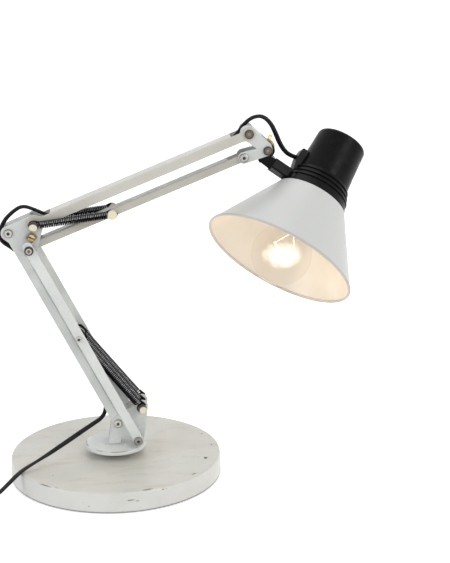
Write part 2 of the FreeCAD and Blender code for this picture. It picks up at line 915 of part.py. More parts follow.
def make_elbow_pin_caps():
    station = (upper_bar_out + side_gap, upper_spring_y - upper_wire / 2 - seat_gap)
    return Part.makeCompound(pin_sleeves(elbow_top, bolt_radius, [station], upper_cap_start))


def friction_levels():
    # Widths of the washer's inner face, its outer face and the head's top, on the near side
    inner = plate_out + friction_stand
    return inner, inner + sheet, inner + sheet + friction_head_height


def make_friction_washer():
    inner, outer, top = friction_levels()
    half = friction_washer_side / 2
    washer = Part.makeBox(2 * half, outer - inner, 2 * half, Vector(-half, -outer, -half))
    washer.rotate(ORIGIN, Y_AXIS, friction_washer_turn)
    washer.translate(friction_point)
    return washer.cut(rod(friction_point, bolt_radius + running_fit, -outer, -inner))


def make_friction_screw():
    # A slotted round head, a collar that stands the washer off and a shank in the near cheek
    inner, outer, top = friction_levels()
    shank = rod(friction_point, bolt_radius, -outer, -plate_in)
    collar = rod(friction_point, friction_head_radius, -inner, -plate_out)
    head = rod(friction_point, friction_head_radius, -top, -outer)
    slot = Part.makeBox(4 * friction_head_radius, slot_depth, slot_width,
                        Vector(-2 * friction_head_radius, -top, -slot_width / 2))
    slot.rotate(ORIGIN, Y_AXIS, slot_turn)
    slot.translate(friction_point)
    return joined([shank, collar, head.cut(slot)])


# Upper arm

def make_upper_bar():
    # The web is above and the cord lies under it, in and out at its ends
    half = upper_bar_half_height
    length = upper_arm_length
    bar = channel(-half, length + half, -half, half, upper_bar_out, 1)
    bar = bar.common(plate(belt([(along(0), half), (along(length), half)]), -upper_bar_out, upper_bar_out))
    bar = bar.cut(web_cut(-half - 1, upper_web_start, -half, half, upper_bar_out))
    bar = bar.cut(web_cut(length - upper_web_end_gap, length + half + 1, -half, half, upper_bar_out))
    eye = belt([(along(0), upper_eye_radius), (along(upper_eye_taper), half - bend_radius)])
    tip = belt([(along(length), upper_tip_radius), (along(length - upper_eye_taper), half - bend_radius)])
    bar = joined([bar, cheeks(eye, upper_bar_in, upper_bar_out), cheeks(tip, upper_bar_in, upper_bar_out)])
    bar = bored(bar, [along(0), along(length)], bolt_radius + running_fit)
    return laid(bar, elbow_top, upper_arm_rise)


def make_upper_arm_lower_bar():
    # The web is above and the bar is open below
    half = lower_strut_half_height
    length = upper_arm_length
    bar = channel(-half, length + half, -half, half, rear_bar_half_width, 1)
    bar = bar.common(plate(belt([(along(0), half), (along(length), half)]),
                           -rear_bar_half_width, rear_bar_half_width))
    bar = bar.cut(web_cut(length - strut_web_end_gap, length + half + 1, -half, half, rear_bar_half_width))
    bar = bored(bar, [along(0)], bolt_radius + running_fit)
    bar = bored(bar, [along(length)], bolt_radius + open_pivot_gap)
    bar = bored(bar, [along(upper_pin_along)], upper_pin_radius + running_fit)
    return laid(bar, elbow_front, upper_arm_rise)


def make_upper_spring_pin():
    end = pin_length(upper_cap_start)
    return rod(upper_post, upper_pin_radius, -end, end)


def make_upper_pin_caps():
    station = (rear_bar_half_width + side_gap, upper_spring_y - upper_wire / 2 - seat_gap)
    return Part.makeCompound(pin_sleeves(upper_post, upper_pin_radius, [station], upper_cap_start))


# Head bracket and tilt

def make_head_bracket():
    # Two cheeks joined by a short strip on the edge between the top ear and the tilt boss
    ear = head_top + head_ear_shift
    shoulder = tilt_pivot + head_shoulder_shift
    main = belt([(tilt_pivot, head_tilt_boss), (shoulder, head_tilt_boss), (ear, head_ear_radius)])
    low = belt([(tilt_pivot, head_tilt_boss), (head_low, head_low_boss)])
    sides = joined([cheeks(main, plate_in, plate_out), cheeks(low, plate_in, plate_out)])
    run = shoulder - ear
    lean = math.degrees(math.asin((head_ear_radius - head_tilt_boss) / run.Length))
    normal = math.degrees(math.atan2(run.z, run.x)) + 90 - lean
    strip_start = ear + heading(normal) * head_ear_radius
    strip_length = run.Length - hub_radius - head_tilt_boss
    strip = channel(0, strip_length, -2 * bend_radius, 0, plate_out, 1)
    strip = strip.cut(Part.makeBox(strip_length, 2 * plate_out, bend_radius,
                                   Vector(0, -plate_out, -2 * bend_radius)))
    zone = Part.makeBox(strip_length, 2 * plate_out, 2 * bend_radius, Vector(0, -plate_out, -bend_radius))
    strip = laid(strip, strip_start, normal - 90)
    bracket = joined([sides.cut(laid(zone, strip_start, normal - 90)), strip])
    return bored(bracket, [head_top, head_low, tilt_pivot], bolt_radius + running_fit)


def make_head_bolts():
    return Part.makeCompound(
        bolt_and_nut(head_top, upper_bar_out + side_gap) + bolt_and_nut(head_low, plate_out))


def make_tilt_bolt():
    return pan_bolt(tilt_pivot, -plate_out, plate_out + wing_hub_height + tilt_bolt_end)


def make_wing_nut():
    start = plate_out + side_gap
    hub = rod(ORIGIN, wing_hub_radius, start, start + wing_hub_height)
    low = wing_height - wing_tip_height
    blade = Part.Face(outline([
        (-wing_hub_radius, wing_root), (-wing_reach, low, wing_corner),
        (-wing_reach, wing_height, wing_corner),
        (-wing_hub_radius, wing_height, wing_corner), (0, wing_hub_height - wing_root, wing_corner),
        (wing_hub_radius, wing_height, wing_corner), (wing_reach, wing_height, wing_corner),
        (wing_reach, low, wing_corner), (wing_hub_radius, wing_root)]))
    blade.translate(Vector(0, -wing_thickness / 2, 0))
    blade = blade.extrude(Vector(0, wing_thickness, 0))
    blade.rotate(ORIGIN, X_AXIS, -90)
    blade.translate(Vector(0, start, 0))
    flange = rod(ORIGIN, wing_flange_radius, start, start + wing_flange_height)
    nut = joined([hub, flange, blade])
    nut.rotate(ORIGIN, Y_AXIS, -wing_angle)
    nut.translate(tilt_pivot)
    return nut.cut(rod(tilt_pivot, bolt_radius + running_fit, start - 1, start + wing_height + 1))


def at_stem(out, up, y=0.0):
    # A place measured along and across the stem from the swivel's face
    return swivel_point + stem_out * out + stem_up * up + Y_AXIS * y


def make_tilt_block():
    # A hub on the tilt bolt and a body with the bore for the head's spigot
    face = -side_gap / 2
    front = face - small_edge
    tip = at_stem(small_edge - block_tip_back, small_edge - block_tip_down)
    low_front = at_stem(front, small_edge - block_bottom)
    bar = belt([
        (at_stem(front, block_top - small_edge), small_edge),
        (at_stem(-hub_back, block_top - small_edge), small_edge), (tip, small_edge), (low_front, small_edge)])
    hub = belt([
        (tilt_pivot, hub_radius), (tip, small_edge),
        (at_stem(-hub_back, small_edge - block_bottom), small_edge)])
    body = joined([
        plate(bar, -block_half_width, block_half_width), plate(hub, -block_half_width, block_half_width)])
    bore = Part.makeCylinder(spigot_radius + running_fit, spigot_length + seat_gap,
                             at_stem(face - spigot_length - seat_gap, 0), stem_out)
    grub = Part.makeCylinder(grub_radius + running_fit, block_bottom,
                             at_stem(-groove_back, 0), stem_up * -1)
    body = body.cut(bore).cut(grub)
    return bored(body, [tilt_pivot], bolt_radius + running_fit)


def make_swivel_screw():
    # Its tip stands in the spigot's groove
    length = block_bottom - groove_radius - seat_gap - grub_sink
    start = at_stem(-groove_back, -groove_radius - seat_gap)
    return Part.makeCylinder(grub_radius, length, start, stem_up * -1)


# Head, drawn upright about the lamp's axis and then laid in place

def headed(shape):
    # Local X runs out along the stem and local Z runs up the cap
    matrix = FreeCAD.Matrix(
        stem_out.x, lamp_side.x, lamp_up.x, lamp_point.x,
        stem_out.y, lamp_side.y, lamp_up.y, lamp_point.y,
        stem_out.z, lamp_side.z, lamp_up.z, lamp_point.z,
        0, 0, 0, 1)
    placed = shape.copy()
    placed.Placement = FreeCAD.Placement(matrix)
    return placed


def skirt_radius(height):
    # The cap's radius between its waist and the end of its skirt
    slope = (cap_skirt_radius - cap_waist_radius) / (cap_skirt_drop + cap_waist_height)
    return cap_waist_radius + slope * (cap_waist_height - height)


def cap_form(inset, bottom, ribs=()):
    # The cap's solid form with ridges round its skirt, or its inside when inset is the wall
    top = cap_height - inset
    corners = [
        (0, top), (cap_top_radius - inset, top, cap_corner - inset / 2),
        (cap_middle_radius - inset, cap_middle_height),
        (cap_waist_radius - inset, cap_waist_height)]
    for height in ribs:
        for rise, out in ((1, 0), (0.5, 1), (-0.5, 1), (-1, 0)):
            level = height + rise * rib_radius
            corners.append((skirt_radius(level) + out * rib_radius, level))
    return turned(corners + [(skirt_radius(-bottom) - inset, -bottom), (0, -bottom)])


def ribbed_cap_form():
    return cap_form(0, cap_skirt_drop, [rib_first + rib_step * i for i in reversed(range(rib_count))])


def make_lamp_cap():
    cap = ribbed_cap_form().cut(cap_form(cap_wall, cap_skirt_drop + sheet))
    hole = Part.makeCylinder(button_radius + button_gap, 2 * cap_wall, Z_AXIS * (cap_height - 1.5 * cap_wall))
    return headed(cap.cut(hole))


def make_head_stem():
    # A rounded bar seated on the cap, with a grooved spigot for the tilt block
    start = side_gap / 2 - stem_reach
    length = stem_reach - cap_waist_radius + cap_wall
    bar = Part.makeBox(length, 2 * stem_half_width, 2 * stem_half_height,
                       Vector(start, -stem_half_width, -stem_half_height))
    long_edges = [e for e in bar.Edges if abs(e.Length - length) < 1e-6]
    bar = bar.makeFillet(stem_edge, long_edges).cut(ribbed_cap_form())
    spigot = Part.makeCylinder(spigot_radius, spigot_length, Vector(start - spigot_length, 0, 0), X_AXIS)
    groove_start = -stem_reach - groove_back - groove_width / 2
    ring = Part.makeCylinder(2 * spigot_radius, groove_width, Vector(groove_start, 0, 0), X_AXIS)
    ring = ring.cut(Part.makeCylinder(groove_radius, groove_width, Vector(groove_start, 0, 0), X_AXIS))
    return headed(joined([bar, spigot.cut(ring)]))


def make_cord_clip():
    root = cap_waist_radius - clip_root
    boss = plate(outline([
        (-root, stem_half_height), (-clip_heel, stem_half_height), (-clip_back, clip_shoulder),
        (-clip_brow, clip_top, 2 * small_edge), (-root, clip_top)]), -clip_half_width, clip_half_width)
    clip = headed(boss.cut(ribbed_cap_form()))
    mouth, after = cord_stretches[0][1][:2]
    return clip.cut(Part.makeCylinder(cord_diameter / 2 + seat_gap, clip_back, mouth, after - mouth))


def make_lamp_holder():
    shoulder_bottom = -cap_skirt_drop
    shoulder_radius = cap_skirt_radius - cap_wall - holder_shoulder / 2
    return headed(turned([
        (0, holder_top), (holder_radius, holder_top, small_edge),
        (holder_radius, shoulder_bottom + holder_shoulder),
        (shoulder_radius, shoulder_bottom + holder_shoulder), (shoulder_radius, shoulder_bottom),
        (holder_radius, shoulder_bottom), (holder_radius, -holder_mouth, small_edge),
        (holder_bore, -holder_mouth),
        (holder_bore, holder_floor), (0, holder_floor)]))


def make_shade_ring():
    top = -cap_skirt_drop - shade_sheet
    bore = holder_radius + running_fit
    return headed(turned([
        (bore, top), (bore + ring_width, top), (bore + ring_width, top - ring_height, small_edge),
        (bore, top - ring_height)]))


def make_shade():
    top = -cap_skirt_drop
    rim = top - shade_length
    cone = Vector(shade_rim_radius - cap_skirt_radius, 0, -shade_length).normalize()
    inward = Vector(cone.z, 0, -cone.x) * shade_sheet
    inner_top = cap_skirt_radius + inward.x + cone.x / -cone.z * (inward.z + shade_sheet)
    bore = holder_radius + running_fit
    body = turned([
        (bore, top), (cap_skirt_radius, top, shade_corner), (shade_rim_radius, rim),
        (shade_rim_radius + inward.x, rim + inward.z), (inner_top, top - shade_sheet),
        (bore, top - shade_sheet)])
    lip = []
    for i in range(lip_flats):
        turn = 2 * math.pi * i / lip_flats
        lip.append((shade_rim_radius - shade_sheet / 2 + lip_radius * math.cos(turn),
                    rim - shade_sheet / 2 + lip_radius * math.sin(turn)))
    return headed(joined([body, turned(lip)]))


def bulb_form(inset, start):
    # The globe and its neck, with the wall taken off when inset is the wall
    radius = bulb_radius - inset
    neck = bulb_neck_radius - inset
    corner = Vector(neck + bulb_neck_flare, 0, -bulb_neck_end)
    centre = Vector(0, 0, -bulb_centre)
    to_corner = corner - centre
    opening = math.acos(radius / to_corner.Length)
    facing = math.atan2(to_corner.z, to_corner.x) - opening
    touch = centre + heading(math.degrees(facing)) * radius
    side = centre + heading((math.degrees(facing) - 90) / 2) * radius
    bottom = centre - Z_AXIS * radius
    head = Vector(neck, 0, -start)
    blend_start, blend_middle, blend_end = corner_arc(head, corner, touch, bulb_blend)
    edges = [
        Part.makeLine(Vector(0, 0, -start), head), Part.makeLine(head, blend_start),
        Part.Arc(blend_start, blend_middle, blend_end).toShape(), Part.makeLine(blend_end, touch),
        Part.Arc(touch, side, bottom).toShape(), Part.makeLine(bottom, Vector(0, 0, -start))]
    return Part.Face(Part.Wire(edges)).revolve(ORIGIN, Z_AXIS, 360)


def make_bulb_glass():
    return headed(bulb_form(0, bulb_neck_start).cut(bulb_form(bulb_wall, bulb_neck_start - 1)))


def make_bulb_cap():
    top = holder_floor - side_gap
    return headed(turned([
        (0, top), (contact_radius, top), (cap_shoulder_radius, top - contact_rise),
        (bulb_cap_radius, top - cap_shoulder_drop),
        (bulb_cap_radius, -bulb_neck_start), (0, -bulb_neck_start)]))


def make_filament():
    # A glass stem, two supports and the wire between them, joined
    tip = bulb_neck_start + glass_stem_length
    stem = turned([
        (0, -bulb_neck_start), (glass_stem_radius, -bulb_neck_start), (glass_stem_tip, -tip), (0, -tip)])
    level = bulb_neck_start + filament_drop
    ends = [Vector(side * filament_half_span, 0, -level) for side in (-1, 1)]
    pieces = [stem]
    for side, end in zip((-1, 1), ends):
        start = Vector(side * support_spread, 0, small_edge - tip)
        pieces.append(Part.makeCylinder(filament_wire, (end - start).Length, start, end - start))
    middle = Vector(0, filament_forward, -level - filament_sag)
    for end in ends:
        pieces.append(Part.makeCylinder(filament_wire, (middle - end).Length, end, middle - end))
    return headed(joined(pieces))


def make_switch_body():
    top = cap_height - cap_wall
    cavity = button_radius + button_flange + 2 * button_gap
    return headed(turned([
        (0, top - switch_depth), (switch_radius, top - switch_depth, small_edge), (switch_radius, top),
        (cavity, top),
        (cavity, top - switch_floor), (0, top - switch_floor)]))


def make_switch_button():
    ceiling = cap_height - cap_wall - seat_gap
    flange_bottom = ceiling - button_travel
    top = cap_height + button_proud
    foot = flange_bottom - button_foot
    wide = button_radius + button_flange
    return headed(turned([
        (0, foot), (button_radius, foot), (button_radius, flange_bottom), (wide, flange_bottom),
        (wide, ceiling),
        (button_radius, ceiling), (button_radius, top, small_edge), (0, top)]))


# Cord

def make_cords():
    # Each piece takes in the next one's first run up to its middle, so that the pieces meet there
    solids = {}
    total = 0.0
    last = len(cord_stretches) - 1
    for i, (name, own) in enumerate(cord_stretches):
        following = cord_stretches[i + 1][1][:2] if i < last else []
        solids[name], length = cord(name, own + following, i > 0, i < last)
        total += length
    return solids, total


def coil_nodes():
    # Places and directions every quarter turn: inwards on the table, up a layer, and outwards again
    before, entry = cord_stretches[-1][1][-2:]
    way = entry - before
    way.z = 0
    way.normalize()
    centre = entry + way * cord_diameter + Vector(way.y, -way.x, 0) * coil_outer_radius
    start_angle = math.atan2(way.x, -way.y)
    winding = 2 * math.pi * coil_turns
    unwinding = 2 * math.pi * coil_top_turns
    climb = math.pi
    inner = coil_outer_radius - coil_pitch * coil_turns
    low = entry.z

    def place(turn):
        if turn < winding:
            radius = coil_outer_radius - coil_pitch * turn / (2 * math.pi)
            height = low
        elif turn < winding + climb:
            part = (turn - winding) / climb
            radius = inner - coil_pitch * min(part, 1 - part) / 2
            height = low + coil_layer * (1 - math.cos(math.pi * part)) / 2
        else:
            radius = inner + coil_pitch * (turn - winding - climb) / (2 * math.pi)
            height = low + coil_layer
        angle = start_angle - turn
        return Vector(centre.x + radius * math.cos(angle), centre.y + radius * math.sin(angle), height)

    total = winding + climb + unwinding
    count = round(total / (math.pi / 2))
    small = 0.01
    nodes = []
    for i in range(count + 1):
        turn = total * i / count
        ahead = place(min(turn + small, total)) - place(max(turn - small, 0))
        nodes.append((place(turn), ahead.normalize()))
    return entry, way, nodes


def make_cord_coil():
    entry, way, nodes = coil_nodes()
    straight = entry + way * cord_diameter
    nodes[0] = (straight, way)
    edges = [Part.makeLine(entry, straight)]
    for (place, tangent), (next_place, next_tangent) in zip(nodes, nodes[1:]):
        edges += biarc(place, tangent, next_place, next_tangent)
    end, end_way = nodes[-1]
    edges.append(Part.makeLine(end, end + end_way * cord_diameter))
    solid = swept(edges, cord_diameter / 2, cord_sides)
    length = sum(e.Length for e in edges)
    ratio = solid.Volume / (section_area(cord_diameter / 2, cord_sides) * length)
    gap = least_self_gap(edges, cord_diameter, 3 * cord_diameter)
    print("cord_coil length %.0f" % length, "volume ratio %.4f" % ratio, "least gap %.2f" % gap)
    return solid, length, end + end_way * cord_diameter, end_way


def make_plug(end, way):
    # A flat two-pin plug with a tapered boot, lying beside the coil
    across = Vector(-way.y, way.x, 0)
    boot = Part.makeCone(boot_tail_radius, boot_root_radius, boot_length, end, way)
    start = end + way * boot_length
    half = plug_thickness / 2

    def at(forward, side):
        return start + way * forward + across * side - Z_AXIS * half

    corners = [
        at(0, -plug_back_half), at(plug_shoulder, -plug_front_half), at(plug_length, -plug_front_half),
        at(plug_length, plug_front_half), at(plug_shoulder, plug_front_half), at(0, plug_back_half)]
    body = Part.Face(Part.makePolygon(corners + corners[:1])).extrude(Z_AXIS * plug_thickness)
    body = body.makeFillet(plug_edge, body.Edges)
    body = joined([body, boot])
    pins = []
    for side in (-1, 1):
        base = start + way * plug_length + across * (side * plug_pin_spacing / 2)
        pins.append(Part.makeCylinder(plug_pin_radius, plug_pin_length, base, way))
    return body, Part.makeCompound(pins)


# All the nodes

def make_springs():
    hook = lower_wire / 2 + seat_gap
    lower_hook = lower_pin_radius + hook
    springs = {}
    for name, y in (("near", -lower_spring_y), ("middle", 0.0), ("far", lower_spring_y)):
        full = "lower_spring_" + name
        springs[full] = spring(full, hook_pin, lower_post, y, lower_spring_diameter, lower_wire,
                               lower_hook, lower_hook_length, lower_curls)
    upper_hook = bolt_radius + upper_wire / 2 + seat_gap
    for name, y in (("near", -upper_spring_y), ("far", upper_spring_y)):
        full = "upper_spring_" + name
        springs[full] = spring(full, elbow_top, upper_post, y, upper_spring_diameter, upper_wire,
                               upper_hook, upper_hook_length, upper_curls)
    return springs


parts = {
    "base_shell": make_base_shell(),
    "base_weight": make_base_weight(),
    "base_pad": make_base_pad(),
    "base_bush": make_base_bush(),
    "swivel_disc": make_swivel_disc(),
    "spindle_bolt": make_spindle_bolt(),
    "spindle_nut": make_spindle_nut(),
    "base_bracket": make_base_bracket(),
    "base_bolts": make_base_bolts(),
    "base_spacers": make_spacers(foot_front_pivot),
    "lower_spring_pin": make_lower_spring_pin(),
    "lower_pin_sleeves": make_lower_pin_sleeves(),
    "rear_lower_bar": make_rear_lower_bar(),
    "front_lower_bar": make_front_lower_bar(),
    "front_bar_pin": make_front_bar_pin(),
    "elbow_bracket": make_elbow_bracket(),
    "elbow_bolts": make_elbow_bolts(),
    "elbow_spacers": make_spacers(elbow_front),
    "elbow_pin_caps": make_elbow_pin_caps(),
    "friction_washer": make_friction_washer(),
    "friction_screw": make_friction_screw(),
    "upper_bar": make_upper_bar(),
    "upper_arm_lower_bar": make_upper_arm_lower_bar(),
    "upper_spring_pin": make_upper_spring_pin(),
    "upper_pin_caps": make_upper_pin_caps(),
    "head_bracket": make_head_bracket(),
    "head_bolts": make_head_bolts(),
    "tilt_bolt": make_tilt_bolt(),
    "wing_nut": make_wing_nut(),
    "tilt_block": make_tilt_block(),
    "swivel_screw": make_swivel_screw(),
    "head_stem": make_head_stem(),
    "lamp_cap": make_lamp_cap(),
    "cord_clip": make_cord_clip(),
    "lamp_holder": make_lamp_holder(),
    "shade_ring": make_shade_ring(),
    "shade": make_shade(),
    "bulb_glass": make_bulb_glass(),
    "bulb_cap": make_bulb_cap(),
    "filament": make_filament(),
    "switch_body": make_switch_body(),
    "switch_button": make_switch_button(),
}
parts.update(make_springs())
cords, cord_length = make_cords()
parts.update(cords)
parts["cord_coil"], coil_length, cord_end, cord_way = make_cord_coil()
parts["plug_body"], parts["plug_pins"] = make_plug(cord_end, cord_way)
print("cord in all %.0f mm" % (cord_length + coil_length))

for name, shape in parts.items():
    solids = shape.Solids
    if not solids or not shape.isValid() or min(s.Volume for s in solids) <= 0:
        print("check", name, len(solids), shape.isValid())
    shape.exportStep("parts/%s.step" % name)
print(len(parts), "parts")
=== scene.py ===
import json
import math

import bpy
from mathutils import Matrix, Vector


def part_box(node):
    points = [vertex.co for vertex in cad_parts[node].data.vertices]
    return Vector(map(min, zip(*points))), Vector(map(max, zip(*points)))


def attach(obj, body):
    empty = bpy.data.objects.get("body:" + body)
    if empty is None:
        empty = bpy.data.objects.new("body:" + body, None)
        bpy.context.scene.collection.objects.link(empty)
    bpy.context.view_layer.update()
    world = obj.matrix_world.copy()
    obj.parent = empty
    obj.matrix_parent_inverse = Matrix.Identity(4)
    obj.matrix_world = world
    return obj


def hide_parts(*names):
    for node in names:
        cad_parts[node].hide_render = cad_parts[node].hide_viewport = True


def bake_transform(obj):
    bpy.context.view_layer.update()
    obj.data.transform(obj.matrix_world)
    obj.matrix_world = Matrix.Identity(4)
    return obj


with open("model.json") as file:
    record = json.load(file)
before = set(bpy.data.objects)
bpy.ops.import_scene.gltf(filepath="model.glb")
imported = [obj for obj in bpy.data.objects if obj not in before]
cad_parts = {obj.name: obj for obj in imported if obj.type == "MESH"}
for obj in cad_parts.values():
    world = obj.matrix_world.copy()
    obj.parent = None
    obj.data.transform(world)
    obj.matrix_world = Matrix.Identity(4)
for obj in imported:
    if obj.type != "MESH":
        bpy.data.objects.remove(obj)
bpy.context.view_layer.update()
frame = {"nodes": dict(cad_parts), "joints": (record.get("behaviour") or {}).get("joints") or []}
mm = 0.001
print("frame loaded")


# Places of the real lamp that the materials and the springs need

def heading(angle):
    # A direction in the side view, by its angle above level in degrees
    return Vector((math.cos(math.radians(angle)), 0, math.sin(math.radians(angle))))


arms = {
    "lowerLean": 26.8, "upperRise": 21.9,  # in degrees, back from upright and up from level
    # the springs' pins, in mm from the foot's and the elbow's front pivots
    "lowerPost": (4.8, 0, 33.1), "frontPinAlong": 123.5, "frontPinBack": 0.9,
    "upperPostAlong": 88.2,
}
lamp = {"turn": 29.4, "stemAngle": -35.1, "stemReach": 52.1 * mm, "bulbDepth": 66 * mm}

pivots = {joint["name"]: Vector(joint["pos_m"]) for joint in frame["joints"] if "pos_m" in joint}
footFront = pivots["front_bar_pivot"]
frontPin = heading(90 + arms["lowerLean"]) * arms["frontPinAlong"]
springPins = {
    "lowerPost": footFront + Vector(arms["lowerPost"]) * mm,
    "frontBarPin": footFront + frontPin * mm + heading(180 + arms["lowerLean"]) * arms["frontPinBack"] * mm,
    "elbowTop": pivots["upper_arm"],
    "upperPost": pivots["strut_pivot"] + heading(arms["upperRise"]) * arms["upperPostAlong"] * mm,
}
turn = math.radians(lamp["turn"])
lampUp = heading(lamp["stemAngle"] + 90) * math.cos(turn) + Vector((0, 1, 0)) * math.sin(turn)
lampPoint = pivots["head_turn"] + heading(lamp["stemAngle"]) * lamp["stemReach"]


def newObject(name, data):
    item = bpy.data.objects.new(name, data)
    bpy.context.collection.objects.link(item)
    return item


# Camera and light

camera = {
    "place": (10.69 * mm, -1445.31 * mm, 608.55 * mm),
    "yaw": 4.077, "pitch": -15.747, "roll": -0.424,
    "focalPixels": 1500, "imageHeight": 563, "sensor": 36,
    "nearest": 0.05, "farthest": 50,
}


def makeCamera():
    yaw, pitch, roll = (math.radians(camera[k]) for k in ("yaw", "pitch", "roll"))
    ahead = Vector((math.sin(yaw) * math.cos(pitch), math.cos(yaw) * math.cos(pitch), math.sin(pitch)))
    right = ahead.cross(Vector((0, 0, 1))).normalized()
    up = right.cross(ahead)
    rolledRight = right * math.cos(roll) + up * math.sin(roll)
    rolledUp = up * math.cos(roll) - right * math.sin(roll)
    data = bpy.data.cameras.new("camera")
    data.sensor_width = camera["sensor"]
    data.lens = camera["focalPixels"] / camera["imageHeight"] * camera["sensor"]
    data.clip_start = camera["nearest"]
    data.clip_end = camera["farthest"]
    item = newObject("camera", data)
    turned = Matrix((rolledRight, rolledUp, -ahead)).transposed()
    item.matrix_world = Matrix.Translation(camera["place"]) @ turned.to_4x4()
    bpy.context.scene.camera = item


studio = {
    "key": {"place": (1.5, -1.4, 1.3), "size": 1.3, "power": 16.5, "colour": (1, 0.995, 0.98)},
    "fill": {"place": (-1.9, -0.8, 1.1), "size": 1.4, "power": 13.5, "colour": (0.98, 0.99, 1)},
    "top": {"place": (0.3, 0.7, 1.9), "size": 1.2, "power": 4.5, "colour": (1, 1, 1)},
    "aim": (0.06, 0, 0.2),
    "worldStrength": 0.58,
}


def makeLights():
    for name in ("key", "fill", "top"):
        values = studio[name]
        data = bpy.data.lights.new(name, "AREA")
        data.size = values["size"]
        data.energy = values["power"]
        data.color = values["colour"]
        item = newObject(name, data)
        item.location = values["place"]
        item.rotation_euler = (Vector(studio["aim"]) - item.location).to_track_quat("-Z", "Y").to_euler()


def seenNode(tree):
    # 1 for what the camera sees, straight, mirrored or through glass, and 0 for the light on the lamp
    rays = tree.nodes.new("ShaderNodeLightPath").outputs
    seen = mathNode("MAXIMUM", rays["Is Camera Ray"], rays["Is Glossy Ray"])
    return mathNode("MAXIMUM", seen, rays["Is Transmission Ray"])


def makeWorld():
    world = bpy.data.worlds.new("studio")
    bpy.context.scene.world = world
    world.use_nodes = True
    tree = world.node_tree
    back = tree.nodes["Background"]
    base = studio["worldStrength"]
    back.inputs["Color"].default_value = (1, 1, 1, 1)
    feed(back.inputs["Strength"], mathNode("MULTIPLY_ADD", seenNode(tree), 1 - base, base))


# Sizes in metres. It lies a hair under the pad, so that the two never share a plane
floor = {
    "shader": {"Base Color": (0.93, 0.93, 0.93), "Roughness": 0.9, "Emission Color": (1, 1, 1)}, "lift": 0.5,
    "drop": 0.1 * mm, "halfWidth": 7, "front": -6, "back": 3, "bend": 1, "bendSteps": 8, "wallTop": 6,
}


def makeFloor():
    # A floor that rises softly into a backdrop
    profile = [(floor["front"], -floor["drop"]), (floor["back"], -floor["drop"])]
    for i in range(1, floor["bendSteps"] + 1):
        angle = math.radians(90 * i / floor["bendSteps"])
        profile.append((floor["back"] + floor["bend"] * math.sin(angle), floor["bend"] * (1 - math.cos(angle))))
    profile.append((floor["back"] + floor["bend"], floor["wallTop"]))
    vertices = [(x, y, z) for y, z in profile for x in (-floor["halfWidth"], floor["halfWidth"])]
    faces = [(2 * i, 2 * i + 1, 2 * i + 3, 2 * i + 2) for i in range(len(profile) - 1)]
    mesh = bpy.data.meshes.new("floor")
    mesh.from_pydata(vertices, [], faces)
    shadeSmooth(mesh)
    item = newObject("floor", mesh)
    material, shader = newMaterial("paleFloor", floor["shader"])[:2]
    feed(shader.inputs["Emission Strength"], mathNode("MULTIPLY", seenNode(shader.id_data), floor["lift"]))
    mesh.materials.append(material)


# Small helpers for node trees. A socket knows its tree, so each new node goes where its inputs are

def feed(slot, value):
    # Gives a socket a fixed value, or a link from another node
    if isinstance(value, (int, float, Vector)):
        slot.default_value = value
    elif isinstance(value, tuple):
        slot.default_value = (*value, 1) if slot.type == "RGBA" else value
    else:
        slot.id_data.links.new(value, slot)


def newNode(kind, *values, **settings):
    # A node in the tree of the first socket among its values, which go to its inputs in order
    tree = next(value for value in values if isinstance(value, bpy.types.NodeSocket)).id_data
    node = tree.nodes.new(kind)
    for name, setting in settings.items():
        setattr(node, name, setting)
    for slot, value in zip(node.inputs, values):
        feed(slot, value)
    return node


def mathNode(operation, *values):
    return newNode("ShaderNodeMath", *values, operation=operation).outputs[0]


def vectorNode(operation, *values):
    outputs = newNode("ShaderNodeVectorMath", *values, operation=operation).outputs
    return outputs["Value" if operation in ("LENGTH", "DOT_PRODUCT", "DISTANCE") else "Vector"]


def distanceNode(points, middle, scale):
    # Distance from a place, with each axis stretched or left out by its scale
    away = vectorNode("SUBTRACT", points, middle)
    return vectorNode("LENGTH", vectorNode("MULTIPLY", away, scale))


def coordinates(shader, kind="Object"):
    return shader.id_data.nodes.new("ShaderNodeTexCoord").outputs[kind]


def noiseNode(points, scale, detail, roughness=0.55, stretch=None):
    if stretch is not None:
        points = vectorNode("MULTIPLY", points, stretch)
    node = newNode("ShaderNodeTexNoise", points)
    feed(node.inputs["Scale"], scale)
    feed(node.inputs["Detail"], detail)
    feed(node.inputs["Roughness"], roughness)
    return node.outputs["Fac"]


def rangeNode(value, low, high, start=0.0, end=1.0):
    return newNode("ShaderNodeMapRange", value, low, high, start, end,
                   interpolation_type="SMOOTHSTEP").outputs["Result"]


def edgeNode(reach, edge, softness=0.3 * mm):
    # 0 inside the edge and 1 outside it
    return rangeNode(reach, edge - softness, edge + softness)


def patchNode(points, scale, detail, between, least=0.0, most=1.0, **looks):
    # Noise made into soft patches: between holds the noise levels where a patch starts and is full
    return rangeNode(noiseNode(points, scale, detail, **looks), *between, least, most)


def mixColour(amount, first, second):
    node = newNode("ShaderNodeMix", amount, data_type="RGBA")
    for slot, value in zip([s for s in node.inputs if s.type == "RGBA"], (first, second)):
        feed(slot, value)
    return next(s for s in node.outputs if s.type == "RGBA")


def linkBump(shader, height, strength, depth):
    node = shader.id_data.nodes.new("ShaderNodeBump")
    feed(node.inputs["Strength"], strength)
    feed(node.inputs["Distance"], depth)
    feed(node.inputs["Height"], height)
    feed(shader.inputs["Normal"], node.outputs["Normal"])


glossBetween = (0.3, 0.7)


def linkFinish(shader, points, colour, values):
    # The colour, and where values has them, a roughness that wanders between two values and a fine grain
    feed(shader.inputs["Base Color"], colour)
    if "gloss" in values:
        gloss = patchNode(points, *values["gloss"], glossBetween, *values["roughness"])
        feed(shader.inputs["Roughness"], gloss)
    if "grain" in values:
        scale, detail, strength, depth = values["grain"]
        linkBump(shader, noiseNode(points, scale, detail), strength, depth)


